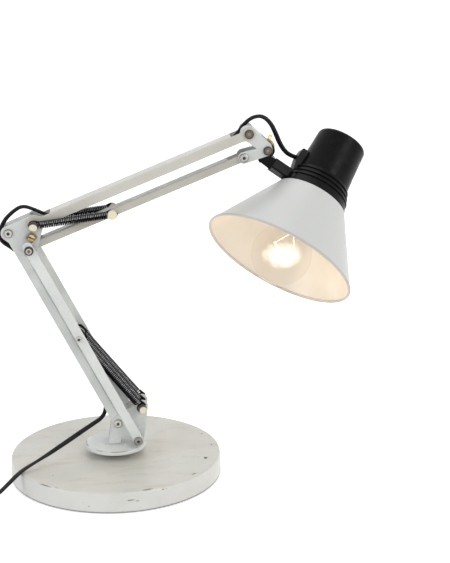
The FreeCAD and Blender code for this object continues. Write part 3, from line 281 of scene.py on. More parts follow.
def newMaterial(name, sockets):
    material = bpy.data.materials.new(name)
    material.use_nodes = True
    shader = material.node_tree.nodes["Principled BSDF"]
    for label, value in sockets.items():
        feed(shader.inputs[label], value)
    return material, shader, coordinates(shader)


# Finishes. Gloss is a noise's scale and detail, and grain is these with the bump's strength and depth

# Lit and shaded copies of two paints: a cool white for the lower arm, foot, disc and brackets and a warmer
# cream for the upper arm's bar and strut. Each part's copy is set lighter or darker to paint in the light and
# shade that part gets
paints = {
    "armPaint": {"base": (0.74, 0.76, 0.745), "shade": (0.64, 0.665, 0.65)},
    "footPaint": {"base": (0.70, 0.72, 0.705), "shade": (0.62, 0.645, 0.63)},
    "discPaint": {"base": (0.71, 0.73, 0.715), "shade": (0.63, 0.655, 0.64), "darkLineInset": 0.8 * mm},
    "elbowPaint": {"base": (0.64, 0.66, 0.645), "shade": (0.55, 0.575, 0.56), "grime": (0.41, 0.39, 0.33),
                   "grimeAmount": 0.35, "topWay": (-0.42, 0, 0.91), "paintedShadeTone": 0.5184},
    "headPaint": {"base": (0.66, 0.68, 0.665), "shade": (0.57, 0.595, 0.58), "grime": (0.42, 0.40, 0.34),
                  "grimeAmount": 0.35},
    "barPaint": {"base": (0.585, 0.575, 0.52), "shade": (0.525, 0.51, 0.45), "grime": (0.38, 0.34, 0.26),
                 "grimeAmount": 0.35, "roughness": (0.26, 0.44)},
    "strutPaint": {"base": (0.51, 0.50, 0.445), "shade": (0.46, 0.445, 0.385), "grime": (0.37, 0.335, 0.255),
                   "grimeAmount": 0.35, "roughness": (0.26, 0.44)},
}
enamel = {  # what a paint has unless it says otherwise
    "grime": (0.46, 0.44, 0.38), "grimeAmount": 0.3, "speck": (0.30, 0.28, 0.24),
    "shader": {"Coat Weight": 0.25, "Coat Roughness": 0.12}, "roughness": (0.24, 0.42), "gloss": (60, 4),
    "grain": (260, 2, 0.12, 0.6 * mm), "darkLineColour": (0.08, 0.075, 0.06),
    "clouds": {"scale": 22, "detail": 4, "between": (0.35, 0.7)},
    "grimeSpots": {"scale": 75, "detail": 6, "roughness": 0.7, "between": (0.58, 0.78)},
    "specks": {"scale": 420, "detail": 2, "roughness": 0.5, "between": (0.70, 0.76), "most": 0.35},
    "topFacing": (0.8, 0.9),
    "darkLineFade": (0.25 * mm, 0.6 * mm, 0.8, 0),
    "darkLineBreaks": {"scale": 45, "detail": 3, "between": (0.40, 0.55)},
}


def makePaint(name):
    # Glossy enamel with faint clouds, specks and a little grime
    values = {**enamel, **paints[name]}
    material, shader, points = newMaterial(name, values["shader"])
    colour = mixColour(patchNode(points, **values["clouds"]), values["base"], values["shade"])
    grime = mathNode("MULTIPLY", patchNode(points, **values["grimeSpots"]), values["grimeAmount"])
    colour = mixColour(grime, colour, values["grime"])
    colour = mixColour(patchNode(points, **values["specks"]), colour, values["speck"])
    if "topWay" in values:
        # Painted shade: a greyer strip where the sheet's own edge looks up and gets less light
        facing = vectorNode("DOT_PRODUCT", coordinates(shader, "Normal"), values["topWay"])
        tone = tuple(c * values["paintedShadeTone"] for c in values["base"])
        colour = mixColour(rangeNode(facing, *values["topFacing"]), colour, tone)
    if "darkLineInset" in values:
        # A broken dark line just inside the round edge of the disc
        low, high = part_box("swivel_disc")
        middle = Vector(((low[0] + high[0]) / 2, (low[1] + high[1]) / 2, 0))
        reach = distanceNode(points, middle, (1, 1, 0))
        inwards = mathNode("SUBTRACT", (high[1] - low[1]) / 2 - values["darkLineInset"], reach)
        line = rangeNode(mathNode("ABSOLUTE", inwards), *values["darkLineFade"])
        darkMarks = mathNode("MULTIPLY", line, patchNode(points, **values["darkLineBreaks"]))
        colour = mixColour(darkMarks, colour, values["darkLineColour"])
    linkFinish(shader, points, colour, values)
    return material


metals = {
    "zincSteel": {"base": (0.50, 0.50, 0.47), "dark": (0.20, 0.19, 0.17), "roughness": (0.26, 0.54)},
    "darkSteel": {"base": (0.11, 0.105, 0.10), "dark": (0.04, 0.038, 0.035), "roughness": (0.34, 0.62)},
    "yellowZinc": {"base": (0.62, 0.52, 0.22), "dark": (0.24, 0.19, 0.07), "roughness": (0.22, 0.50)},
    "wornBrass": {"base": (0.26, 0.235, 0.20), "dark": (0.14, 0.12, 0.10), "roughness": (0.34, 0.62)},
    "capMetal": {"base": (0.62, 0.61, 0.58), "dark": (0.32, 0.31, 0.29), "roughness": (0.22, 0.50)},
    "plugMetal": {"base": (0.66, 0.60, 0.42), "dark": (0.36, 0.32, 0.22), "roughness": (0.20, 0.48)},
}
metalFinish = {
    "stain": {"scale": 480, "detail": 4, "roughness": 0.65, "between": (0.42, 0.68)},
    "gloss": (900, 3), "grain": (1500, 2, 0.15, 0.2 * mm),
}


def makeMetal(name):
    values = {**metalFinish, **metals[name]}
    material, shader, points = newMaterial(name, {"Metallic": 1.0})
    stained = mixColour(patchNode(points, **values["stain"]), values["base"], values["dark"])
    linkFinish(shader, points, stained, values)
    return material


springSteel = {
    "base": (0.010, 0.010, 0.011), "rubbedAndGlint": (0.36, 0.36, 0.37), "shader": {"Metallic": 1.0, "Roughness": 0.3},
    "way": (0.18, -0.80, 0.57),  # where the painted glint looks
    "facing": (0.86, 0.97), "row": (0.72, 0.95),
    "breaks": {"scale": 420, "detail": 3, "between": (0.42, 0.6), "least": 0.55},
}


def makeSpringSteel():
    # Blackened wire with a painted glint: a fine bright line on the side that looks up and forward
    material, shader, points = newMaterial("springSteel", springSteel["shader"])
    facing = vectorNode("DOT_PRODUCT", coordinates(shader, "Normal"), springSteel["way"])
    bright = rangeNode(facing, *springSteel["facing"])
    row = shader.id_data.nodes.new("ShaderNodeAttribute")
    row.attribute_name = "row"
    bright = mathNode("MULTIPLY", bright, rangeNode(row.outputs["Fac"], *springSteel["row"]))
    bright = mathNode("MULTIPLY", bright, patchNode(points, **springSteel["breaks"]))
    feed(shader.inputs["Base Color"], mixColour(bright, springSteel["base"], springSteel["rubbedAndGlint"]))
    return material


slottedScrew = {
    "gold": (0.56, 0.43, 0.22), "dark": (0.07, 0.045, 0.02), "shader": {"Metallic": 1.0, "Roughness": 0.36},
    "place": (-76.5, 0, 253.3), "slotAngle": -22,  # in mm, and in degrees above level
    "slotEdge": (0.4 * mm, 0.8 * mm),
    "grain": (900, 3, 0.2, 0.3 * mm),
}


def makeSlottedScrew():
    # Brass, dark along its slot
    material, shader, points = newMaterial("slottedScrew", slottedScrew["shader"])
    local = vectorNode("SUBTRACT", points, Vector(slottedScrew["place"]) * mm)
    across = vectorNode("DOT_PRODUCT", local, heading(slottedScrew["slotAngle"] + 90))
    slot = rangeNode(mathNode("ABSOLUTE", across), *slottedScrew["slotEdge"], 1, 0)
    colour = mixColour(slot, slottedScrew["gold"], slottedScrew["dark"])
    linkFinish(shader, points, colour, slottedScrew)
    return material


# Bolt heads seen end on, each with its pivot in the side view in mm and its colours from the recess outwards. A
# recess darker than its face is painted shade
boltHeads = {
    "footRearBolt": {"node": "base_bolts", "pivot": (2.8, 55.6), "edge": 3.3,
                     "recess": (0.09, 0.085, 0.08), "face": (0.60, 0.60, 0.57), "rim": (0.50, 0.50, 0.47)},
    "footFrontBolt": {"node": "base_bolts", "pivot": (22.9, 40.6), "edge": 3.3,
                      "recess": (0.08, 0.075, 0.07), "face": (0.36, 0.355, 0.34), "rim": (0.25, 0.24, 0.23)},
    "elbowRearBolt": {"node": "elbow_bolts", "pivot": (-99.1, 257.3), "edge": 3.4,
                      "recess": (0.05, 0.05, 0.045), "face": (0.50, 0.50, 0.48), "rim": (0.24, 0.24, 0.225)},
    "elbowFrontBolt": {"node": "elbow_bolts", "pivot": (-79.0, 242.3), "edge": 2.9,
                       "recess": (0.16, 0.14, 0.12), "face": (0.46, 0.44, 0.40), "rim": (0.06, 0.05, 0.042)},
    "headTopBolt": {"node": "head_bolts", "pivot": (137.5, 350.8), "edge": 3.4,
                    "recess": (0.26, 0.23, 0.20), "face": (0.15, 0.13, 0.105), "rim": (0.065, 0.055, 0.045)},
    "headLowBolt": {"node": "head_bolts", "pivot": (132.5, 327.4), "edge": 3.2,
                    "recess": (0.05, 0.05, 0.045), "face": (0.46, 0.46, 0.44), "rim": (0.36, 0.36, 0.345)},
    "tiltBoltHead": {"node": "tilt_bolt", "pivot": (155.9, 333.9), "edge": 3.4,
                     "recess": (0.27, 0.235, 0.20), "face": (0.145, 0.12, 0.10), "rim": (0.06, 0.05, 0.04)},
    "springPinHead": {"node": "front_bar_pin", "pivot": (-33.6, 150.4), "edge": 2.4,
                      "recess": (0.05, 0.05, 0.045), "face": (0.60, 0.60, 0.58), "rim": (0.40, 0.41, 0.40)},
}
boltFinish = {  # what all the heads share, its edge and reach in mm
    "recessEdge": 1.6, "reach": 6, "shader": {"Metallic": 1.0, "Roughness": 0.38},
    "stainColour": (0.10, 0.085, 0.07),
    "stain": {"scale": 620, "detail": 4, "roughness": 0.65, "between": (0.5, 0.72), "most": 0.55},
    "grain": (900, 3, 0.25, 0.3 * mm),
}


def makeBoltHead(name):
    values = {**boltFinish, **boltHeads[name]}
    material, shader, points = newMaterial(name, values["shader"])
    x, z = values["pivot"]
    reach = distanceNode(points, Vector((x, 0, z)) * mm, (1, 0, 1))
    colour = mixColour(edgeNode(reach, values["recessEdge"] * mm), values["recess"], values["face"])
    colour = mixColour(edgeNode(reach, values["edge"] * mm), colour, values["rim"])
    colour = mixColour(patchNode(points, **values["stain"]), colour, values["stainColour"])
    linkFinish(shader, points, colour, values)
    return material


def dressBoltHeads():
    for name, values in boltHeads.items():
        mesh = frame["nodes"][values["node"]].data
        mesh.materials.append(makeBoltHead(name))
        x, z = values["pivot"]
        for face in mesh.polygons:
            if math.hypot(face.center.x - x * mm, face.center.z - z * mm) < boltFinish["reach"] * mm:
                face.material_index = len(mesh.materials) - 1


plastics = {
    "blackPlastic": {"base": (0.003, 0.003, 0.0035), "dust": (0.020, 0.019, 0.018), "roughness": (0.23, 0.40),
                     "shine": 0.10},
    "blackRubber": {"base": (0.010, 0.010, 0.010), "dust": (0.03, 0.03, 0.03), "roughness": (0.45, 0.62),
                    "shine": 0.2},
    "bushPlastic": {"base": (0.02, 0.02, 0.02), "dust": (0.06, 0.055, 0.05), "roughness": (0.45, 0.62),
                    "shine": 0.3},
    "creamPlastic": {"base": (0.80, 0.74, 0.56), "dust": (0.62, 0.54, 0.37), "roughness": (0.33, 0.50),
                     "shine": 0.5},
    "holderPlastic": {"base": (0.30, 0.24, 0.18), "dust": (0.42, 0.33, 0.24), "roughness": (0.30, 0.47),
                      "shine": 0.5},
}
plasticFinish = {
    "dustSpots": {"scale": 140, "detail": 5, "roughness": 0.7, "between": (0.55, 0.85), "most": 0.5},
    "gloss": (90, 4), "grain": (1400, 2, 0.2, 0.15 * mm),
}


def dustyMaterial(name, values):
    material, shader, points = newMaterial(name, {"Specular IOR Level": values["shine"]})
    dusty = mixColour(patchNode(points, **values["dustSpots"]), values["base"], values["dust"])
    linkFinish(shader, points, dusty, values)
    return material


# Cream caps with a crescent of painted shadow along one edge, from the gap round the cap, each by the middle of
# its unshaded part in the side view in mm
pinCaps = {
    "elbowPinCap": {"middle": (-74.3, 0, 264.0), "reach": 4.1},
    "footPinCap": {"middle": (28.8, 0, 72.5), "reach": 3.9},
}
pinCapFinish = {
    "capCream": (0.80, 0.74, 0.56), "agedAndLit": (0.55, 0.48, 0.34), "crescentShadow": (0.035, 0.033, 0.03),
    "shader": {"Roughness": 0.4},
    "stain": {"scale": 320, "detail": 4, "between": (0.5, 0.8), "most": 0.4},
    "depth": 4.2,  # of the foot's outermost cap, in mm
}


def makePinCap(name):
    values = {**pinCapFinish, **pinCaps[name]}
    material, shader, points = newMaterial(name, values["shader"])
    reach = distanceNode(points, Vector(values["middle"]) * mm, (1, 0, 1))
    light = mixColour(patchNode(points, **values["stain"]), values["capCream"], values["agedAndLit"])
    colour = mixColour(edgeNode(reach, values["reach"] * mm), light, values["crescentShadow"])
    feed(shader.inputs["Base Color"], colour)
    return material


basePaint = {
    "beige": (0.68, 0.66, 0.60), "taupe": (0.55, 0.52, 0.45), "cool": (0.63, 0.64, 0.60),
    "side": (0.70, 0.70, 0.68), "chip": (0.035, 0.03, 0.025), "rust": (0.30, 0.23, 0.15),
    "scratch": (0.74, 0.72, 0.67), "streak": (0.10, 0.085, 0.06),
    "shader": {"Coat Weight": 0.2, "Coat Roughness": 0.2}, "roughness": (0.33, 0.55),
    "patches": {"scale": 14, "detail": 5, "roughness": 0.6, "between": (0.38, 0.66)},
    "darkMarks": {"scale": 42, "detail": 6, "roughness": 0.7, "stretch": (0.5, 1.4, 1), "between": (0.47, 0.72),
             "most": 0.75},
    "sidePatches": {"scale": 30, "detail": 4, "between": (0.4, 0.75), "most": 0.6},
    "scratches": {"scale": 260, "detail": 3, "roughness": 0.6, "stretch": (0.18, 1.6, 1),
                  "between": (0.66, 0.72), "most": 0.5},
    "specks": {"scale": 330, "detail": 3, "roughness": 0.6, "between": (0.68, 0.73), "most": 0.6},
    "ragged": {"scale": 700, "detail": 4, "roughness": 0.7}, "raggedness": 1.6,
    "gloss": (50, 5),
    "pits": {"scale": 180, "detail": 4}, "pitStrength": 0.3, "pitDepth": 0.5 * mm,
    "sideHeights": (19.8 * mm, 21.0 * mm),  # where the side's tone gives way to the top's
    "footHeights": (1.0 * mm, 2.6 * mm), "contactShadow": 0.95,
    "chipEdge": 0.1, "streakDepth": 1.6, "streakDirt": 0.75,
    "chips": [  # where the paint is gone, with the size of each bare spot
        ((90.7, -26.3, 21.5), 2.3), ((98.9, 8.6, 21.5), 0.9), ((90.6, 40.8, 21.5), 1.0),
        ((-4.3, 57.0, 21.5), 1.0), ((-62.5, 22.4, 21.5), 0.7), ((-63.0, -58.4, 21.5), 0.7),
        ((45.2, -97.4, 19.5), 0.9), ((48.5, -95.8, 19.3), 0.6), ((-27.0, -103.9, 7.4), 0.6),
    ],
    "streaks": [  # dirty streaks as middle, half length along the rim and half height, all in mm
        ((-70.0, -80.6, 20.9), 8.5, 0.9), ((-58.0, -88.0, 20.9), 4.0, 0.6), ((30.0, -100.5, 21.1), 6.5, 1.0),
        ((13.5, -106.6, 13.4), 4.6, 0.8), ((20.0, -105.5, 12.0), 2.0, 0.6), ((76.6, -66.5, 21.3), 3.5, 0.8),
    ],
}


def makeBasePaint():
    # Worn enamel: beige and cool patches on the top, paler side, chips and scratches
    values = basePaint
    material, shader, points = newMaterial("basePaint", values["shader"])
    height = newNode("ShaderNodeSeparateXYZ", points).outputs["Z"]
    colour = mixColour(patchNode(points, **values["patches"]), values["beige"], values["cool"])
    colour = mixColour(patchNode(points, **values["darkMarks"]), colour, values["taupe"])
    sidePatches = patchNode(points, **values["sidePatches"])
    sideTone = mixColour(sidePatches, values["side"], values["cool"])
    colour = mixColour(rangeNode(height, *values["sideHeights"], 1, 0), colour, sideTone)
    colour = mixColour(patchNode(points, **values["scratches"]), colour, values["scratch"])
    colour = mixColour(patchNode(points, **values["specks"]), colour, values["rust"])
    ragged = noiseNode(points, **values["ragged"])
    bare = None
    for place, size in values["chips"]:
        reach = vectorNode("DISTANCE", points, Vector(place) * mm)
        reach = mathNode("MULTIPLY_ADD", ragged, -values["raggedness"] * size * mm, reach)
        spot = mathNode("LESS_THAN", reach, values["chipEdge"] * size * mm)
        bare = spot if bare is None else mathNode("MAXIMUM", bare, spot)
    colour = mixColour(bare, colour, values["chip"])
    for place, along, high in values["streaks"]:
        # An ellipsoid along the rim, with its distance squared and in square mm
        out = Vector((place[0], place[1], 0)).normalized()
        local = vectorNode("SUBTRACT", points, Vector(place) * mm)
        squares = []
        for way in (Vector((-out.y, out.x, 0)) / along, Vector((0, 0, 1)) / high,
                    out / (high * values["streakDepth"])):
            part = vectorNode("DOT_PRODUCT", local, way)
            squares.append(mathNode("MULTIPLY", part, part))
        reach = mathNode("ADD", mathNode("ADD", squares[0], squares[1]), squares[2])
        reach = mathNode("MULTIPLY_ADD", ragged, values["raggedness"] * mm * mm, reach)
        streak = rangeNode(reach, mm * mm, 2 * mm * mm, values["streakDirt"], 0)
        colour = mixColour(streak, colour, values["streak"])
    # Painted shadow: the base darkened at its lowest edge, where it sits on the floor
    foot = rangeNode(height, *values["footHeights"], values["contactShadow"], 0)
    colour = mixColour(foot, colour, values["chip"])
    linkFinish(shader, points, colour, values)
    pits = mathNode("SUBTRACT", noiseNode(points, **values["pits"]), bare)
    linkBump(shader, pits, values["pitStrength"], values["pitDepth"])
    return material


shadePaint = {
    "outside": (0.60, 0.61, 0.60), "cloud": (0.61, 0.62, 0.61), "dust": (0.50, 0.48, 0.44),
    "agedAndLit": (0.69, 0.655, 0.59), "paintedLightPlace": (0.095, 0.145),
    "inside": (0.80, 0.755, 0.68), "rubbedAndGlint": (0.72, 0.64, 0.52), "lip": (0.42, 0.41, 0.38),
    "shader": {"Coat Weight": 0.15, "Coat Roughness": 0.25}, "roughness": (0.34, 0.42),
    "clouds": {"scale": 16, "detail": 4, "between": (0.35, 0.7)},
    "dustSpots": {"scale": 210, "detail": 5, "roughness": 0.7, "between": (0.62, 0.8), "most": 0.15},
    "rubs": {"scale": 26, "detail": 5, "between": (0.4, 0.7), "most": 0.5},
    "gloss": (40, 4),
    # The cone, along the lamp's axis from its top and outwards
    "skirt": 8.4 * mm, "topRadius": 36.4 * mm, "slope": (76.3 - 36.4) / 70.6, "wall": 0.6 * mm,
    "lipDepth": (77.8 * mm, 79.2 * mm), "lipAmount": 0.55,
    # The light that the bulb throws on the inside, and its change from the near to the far side
    "glow": (1.0, 0.74, 0.50), "glowStrength": 0.47, "glowReach": (25 * mm, 62 * mm), "glowLeft": 0.12,
    "farGlow": (1.0, 0.94, 0.86), "farStrength": -0.056, "farPlace": (0.13, 0.21),
}


def lampCoordinates(points):
    # Depth below the lamp's point along its axis, and distance from the axis
    local = vectorNode("SUBTRACT", points, lampPoint)
    height = vectorNode("DOT_PRODUCT", local, lampUp)
    axial = vectorNode("MULTIPLY", lampUp, height)
    radius = vectorNode("LENGTH", vectorNode("SUBTRACT", local, axial))
    return mathNode("MULTIPLY", height, -1), radius


def makeShadePaint():
    # Satin enamel, painted lighter on the side towards the arms where the light falls, and cream inside where
    # the bulb lights it
    values = shadePaint
    material, shader, points = newMaterial("shadePaint", values["shader"])
    sideways = newNode("ShaderNodeSeparateXYZ", points).outputs["X"]
    depth, radius = lampCoordinates(points)
    slant = mathNode("SUBTRACT", depth, values["skirt"])
    outer = mathNode("MULTIPLY_ADD", slant, values["slope"], values["topRadius"] - values["wall"])
    inside = mathNode("LESS_THAN", radius, outer)
    clouds = patchNode(points, **values["clouds"])
    outside = mixColour(clouds, values["outside"], values["cloud"])
    outside = mixColour(patchNode(points, **values["dustSpots"]), outside, values["dust"])
    # Painted light: the outside lighter on the side towards the arms
    agedAndLit = rangeNode(sideways, *values["paintedLightPlace"], 1, 0)
    outside = mixColour(agedAndLit, outside, values["agedAndLit"])
    rubs = patchNode(points, **values["rubs"])
    insideTone = mixColour(rubs, values["inside"], values["rubbedAndGlint"])
    colour = mixColour(inside, outside, insideTone)
    edge = rangeNode(depth, *values["lipDepth"], 0, values["lipAmount"])
    linkFinish(shader, points, mixColour(edge, colour, values["lip"]), values)
    away = vectorNode("DISTANCE", points, lampPoint - lampUp * lamp["bulbDepth"])
    near = rangeNode(away, *values["glowReach"], 1, values["glowLeft"])
    lit = mathNode("MULTIPLY", mathNode("MULTIPLY", near, inside), values["glowStrength"])
    far = rangeNode(sideways, *values["farPlace"])
    farLit = mathNode("MULTIPLY", mathNode("MULTIPLY", far, inside), values["farStrength"])
    feed(shader.inputs["Emission Color"], mixColour(far, values["glow"], values["farGlow"]))
    feed(shader.inputs["Emission Strength"], mathNode("ADD", lit, farLit))
    return material


glass = {
    "shader": {"Base Color": (0.99, 0.98, 0.965), "Transmission Weight": 1.0, "IOR": 1.003,
               "Emission Color": (1, 0.93, 0.82)},
    "haze": {"scale": 60, "detail": 4, "between": (0.4, 0.8), "least": 0.015, "most": 0.06},
    # A painted glow: a pale patch with soft edges, where the glass is brightest
    "patch": 0.42, "patchPlace": (0.1648, -0.0655, 0.2425),
    "patchSquash": (0.8, 0.8, 1.35), "patchFade": (5 * mm, 19 * mm),
    "uneven": {"scale": 110, "detail": 3}, "unevenness": 14 * mm,
}


def makeGlass():
    material, shader, points = newMaterial("clearGlass", glass["shader"])
    feed(shader.inputs["Roughness"], patchNode(points, **glass["haze"]))
    away = distanceNode(points, glass["patchPlace"], glass["patchSquash"])
    away = mathNode("SUBTRACT", away, glass["unevenness"] / 2)
    away = mathNode("MULTIPLY_ADD", noiseNode(points, **glass["uneven"]), glass["unevenness"], away)
    lit = rangeNode(away, *glass["patchFade"], glass["patch"], 0)
    feed(shader.inputs["Emission Strength"], lit)
    return material


filamentWire = {
    "shader": {"Base Color": (0.55, 0.52, 0.48), "Roughness": 0.25, "Emission Color": (1, 0.78, 0.45)},
    "strength": 5, "wireDepth": (66.5 * mm, 67.2 * mm),
}


def makeFilament():
    # Grey stem and supports, glowing where the wire is
    material, shader, points = newMaterial("filamentWire", filamentWire["shader"])
    wire = rangeNode(lampCoordinates(points)[0], *filamentWire["wireDepth"])
    feed(shader.inputs["Emission Strength"], mathNode("MULTIPLY", wire, filamentWire["strength"]))
    return material


dressing = {  # the nodes that wear each finish
    "basePaint": ["base_shell"], "discPaint": ["swivel_disc"], "footPaint": ["base_bracket"],
    "armPaint": ["rear_lower_bar", "front_lower_bar"], "elbowPaint": ["elbow_bracket"],
    "headPaint": ["head_bracket"], "barPaint": ["upper_bar"], "strutPaint": ["upper_arm_lower_bar"],
    "darkSteel": ["base_weight", "front_bar_pin", "base_spacers", "elbow_spacers", "swivel_screw"],
    "zincSteel": ["spindle_bolt", "spindle_nut", "base_bolts", "elbow_bolts", "head_bolts", "tilt_bolt",
                  "lower_spring_pin", "upper_spring_pin"],
    "wornBrass": ["friction_washer"], "slottedScrew": ["friction_screw"], "yellowZinc": ["wing_nut"],
    "capMetal": ["bulb_cap"], "plugMetal": ["plug_pins"], "filamentWire": ["filament"],
    "blackRubber": ["base_pad"], "bushPlastic": ["base_bush"], "holderPlastic": ["lamp_holder", "shade_ring"],
    "creamPlastic": ["lower_pin_sleeves", "upper_pin_caps"], "elbowPinCap": ["elbow_pin_caps"],
    "blackPlastic": ["tilt_block", "head_stem", "lamp_cap", "cord_clip", "switch_body", "switch_button",
                     "plug_body"],
    "shadePaint": ["shade"], "clearGlass": ["bulb_glass"],
}


def dressFootCap(material):
    # The foot's outermost cap is part of a node with other sleeves
    sleeves = frame["nodes"]["lower_pin_sleeves"].data
    sleeves.materials.append(material)
    outermost = min(vertex.co.y for vertex in sleeves.vertices)
    for face in sleeves.polygons:
        if face.center.y < outermost + pinCapFinish["depth"] * mm:
            face.material_index = 1


def dressNodes():
    made = [makePaint(name) for name in paints] + [makeMetal(name) for name in metals]
    made += [dustyMaterial(name, {**plasticFinish, **values}) for name, values in plastics.items()]
    made += [makePinCap(name) for name in pinCaps]
    made += [make() for make in (makeBasePaint, makeShadePaint, makeGlass, makeFilament, makeSlottedScrew,
                                 makeSpringSteel)]
    made = {material.name: material for material in made}
    for finish, nodes in dressing.items():
        for node in nodes:
            mesh = frame["nodes"][node].data
            mesh.materials.clear()
            mesh.materials.append(made[finish])
    dressBoltHeads()
    dressFootCap(made["footPinCap"])
    return made


# The lit bulb

bulbLight = {"power": 0.10, "radius": 12 * mm, "colour": (1.0, 0.72, 0.42), "depth": 62 * mm}


def makeBulbLight():
    data = bpy.data.lights.new("bulbLight", "POINT")
    data.energy = bulbLight["power"]
    data.color = bulbLight["colour"]
    data.shadow_soft_size = bulbLight["radius"]
    item = newObject("bulbLight", data)
    item.location = lampPoint - lampUp * bulbLight["depth"]
    item.visible_glossy = False
    item.visible_transmission = False
    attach(item, "head")
    frame["nodes"]["bulb_glass"].visible_shadow = False


# Tubes that follow a path

def shadeSmooth(mesh):
    mesh.polygons.foreach_set("use_smooth", [True] * len(mesh.polygons))


def ease(part):
    return part * part * (3 - 2 * part)


def aheadAt(path, i):
    # Which way the path goes at a point
    return (path[min(i + 1, len(path) - 1)] - path[max(i - 1, 0)]).normalized()


def tubeMesh(name, path, section, wideSides, material):
    # A closed tube: at each point of the path a ring of the section, its wide side near the way given
    vertices = []
    for i, (point, wide) in enumerate(zip(path, wideSides)):
        ahead = aheadAt(path, i)
        wide = (wide - ahead * ahead.dot(wide)).normalized()
        high = ahead.cross(wide)
        vertices += [tuple(point + wide * u + high * v) for u, v in section]
    count = len(section)
    last = (len(path) - 1) * count
    faces = []
    for ring in range(0, last, count):
        for j in range(count):
            a = ring + j
            b = ring + (j + 1) % count
            faces.append((a, b, b + count, a + count))
    faces.append(tuple(reversed(range(count))))
    faces.append(tuple(range(last, last + count)))
    mesh = bpy.data.meshes.new(name)
    mesh.from_pydata(vertices, [], faces)
    shadeSmooth(mesh)
    mesh.materials.append(material)
    return mesh


# Springs: fine close curls with a ring round each pin

lowerSpring = {"coilDiameter": 8.6 * mm, "wire": 1.6 * mm, "turns": 46, "lead": 7.5 * mm,
               "startRing": 3.3 * mm, "endRing": 4.4 * mm, "hookWire": 2.4 * mm}
upperSpring = {"coilDiameter": 7.8 * mm, "wire": 1.5 * mm, "turns": 38, "lead": 5.5 * mm,
               "startRing": 4.4 * mm, "endRing": 4.4 * mm, "hookWire": 1.8 * mm}
springPlaces = {  # the node that each stands for and its place from side to side in mm
    "nearLowerSpring": ("lower_spring_near", -15.6), "middleLowerSpring": ("lower_spring_middle", 0.0),
    "farLowerSpring": ("lower_spring_far", 15.6), "nearUpperSpring": ("upper_spring_near", -15.2),
    "farUpperSpring": ("upper_spring_far", 15.2),
}
springDetail = {"curlSteps": 20, "wireSides": 7, "hookSides": 8, "neckSteps": 8, "neckEnd": 0.5 * mm,
                "ringSteps": 24, "ringStart": 90, "ringTurn": 285}


def coilTree():
    # Curls along Z by length, radius, wire and number of turns
    tree = bpy.data.node_groups.new("springCurls", "GeometryNodeTree")
    face = tree.interface
    for name in ("turns", "length", "radius", "wire"):
        face.new_socket(name, in_out="INPUT", socket_type="NodeSocketFloat")
    face.new_socket("finish", in_out="INPUT", socket_type="NodeSocketMaterial")
    face.new_socket("curls", in_out="OUTPUT", socket_type="NodeSocketGeometry")
    values = tree.nodes.new("NodeGroupInput").outputs
    spiral = tree.nodes.new("GeometryNodeCurveSpiral")
    spiral.inputs["Resolution"].default_value = springDetail["curlSteps"]
    for label, name in (("Rotations", "turns"), ("Start Radius", "radius"), ("End Radius", "radius"),
                        ("Height", "length")):
        feed(spiral.inputs[label], values[name])
    ring = tree.nodes.new("GeometryNodeCurvePrimitiveCircle")
    ring.inputs["Resolution"].default_value = springDetail["wireSides"]
    feed(ring.inputs["Radius"], mathNode("MULTIPLY", values["wire"], 0.5))
    tube = newNode("GeometryNodeCurveToMesh", spiral.outputs["Curve"], ring.outputs["Curve"])
    tube.inputs["Fill Caps"].default_value = True
    realize = newNode("GeometryNodeRealizeInstances", tube.outputs["Mesh"])
    finish = newNode("GeometryNodeSetMaterial", realize.outputs[0])
    feed(finish.inputs["Material"], values["finish"])
    newNode("NodeGroupOutput", finish.outputs["Geometry"])
    return tree


def nodesMesh(tree, name, values):
    # Runs a tree on an empty mesh and returns the plain mesh that it makes
    holder = newObject(name + "Holder", bpy.data.meshes.new(name + "Seed"))
    modifier = holder.modifiers.new("curls", "NODES")
    modifier.node_group = tree
    for item in tree.interface.items_tree:
        if item.in_out == "INPUT" and item.name in values:
            modifier[item.identifier] = values[item.name]
    holder.update_tag()
    graph = bpy.context.evaluated_depsgraph_get()
    mesh = bpy.data.meshes.new_from_object(holder.evaluated_get(graph))
    mesh.name = name
    holder.modifiers.clear()
    bpy.data.objects.remove(holder)
    return mesh


def hookPath(pin, way, coilRadius, ringRadius, lead):
    # From the first curl to the pin's ring, three quarters round it
    side = Vector((-way.z, 0, way.x))
    path = []
    for i in range(springDetail["neckSteps"] + 1):
        part = i / springDetail["neckSteps"]
        along = lead * (1 - part) + springDetail["neckEnd"] * part
        sideways = coilRadius * (1 - ease(part)) + ringRadius * ease(part)
        path.append(pin + way * along + side * sideways)
    for i in range(1, springDetail["ringSteps"] + 1):
        turned = springDetail["ringTurn"] * i / springDetail["ringSteps"]
        angle = math.radians(springDetail["ringStart"] + turned)
        path.append(pin + (way * math.cos(angle) + side * math.sin(angle)) * ringRadius)
    return path


def makeHook(name, path, diameter, material):
    sides = springDetail["hookSides"]
    angles = [2 * math.pi * i / sides for i in range(sides)]
    section = [(diameter / 2 * math.cos(angle), diameter / 2 * math.sin(angle)) for angle in angles]
    return tubeMesh(name, path, section, [Vector((0, 1, 0))] * len(path), material)


def joinMeshes(name, meshes):
    items = [newObject(name if i == 0 else name + "Part", mesh) for i, mesh in enumerate(meshes)]
    bpy.ops.object.select_all(action="DESELECT")
    for item in items:
        item.select_set(True)
    bpy.context.view_layer.objects.active = items[0]
    bpy.ops.object.join()
    items[0].name = name
    return items[0]


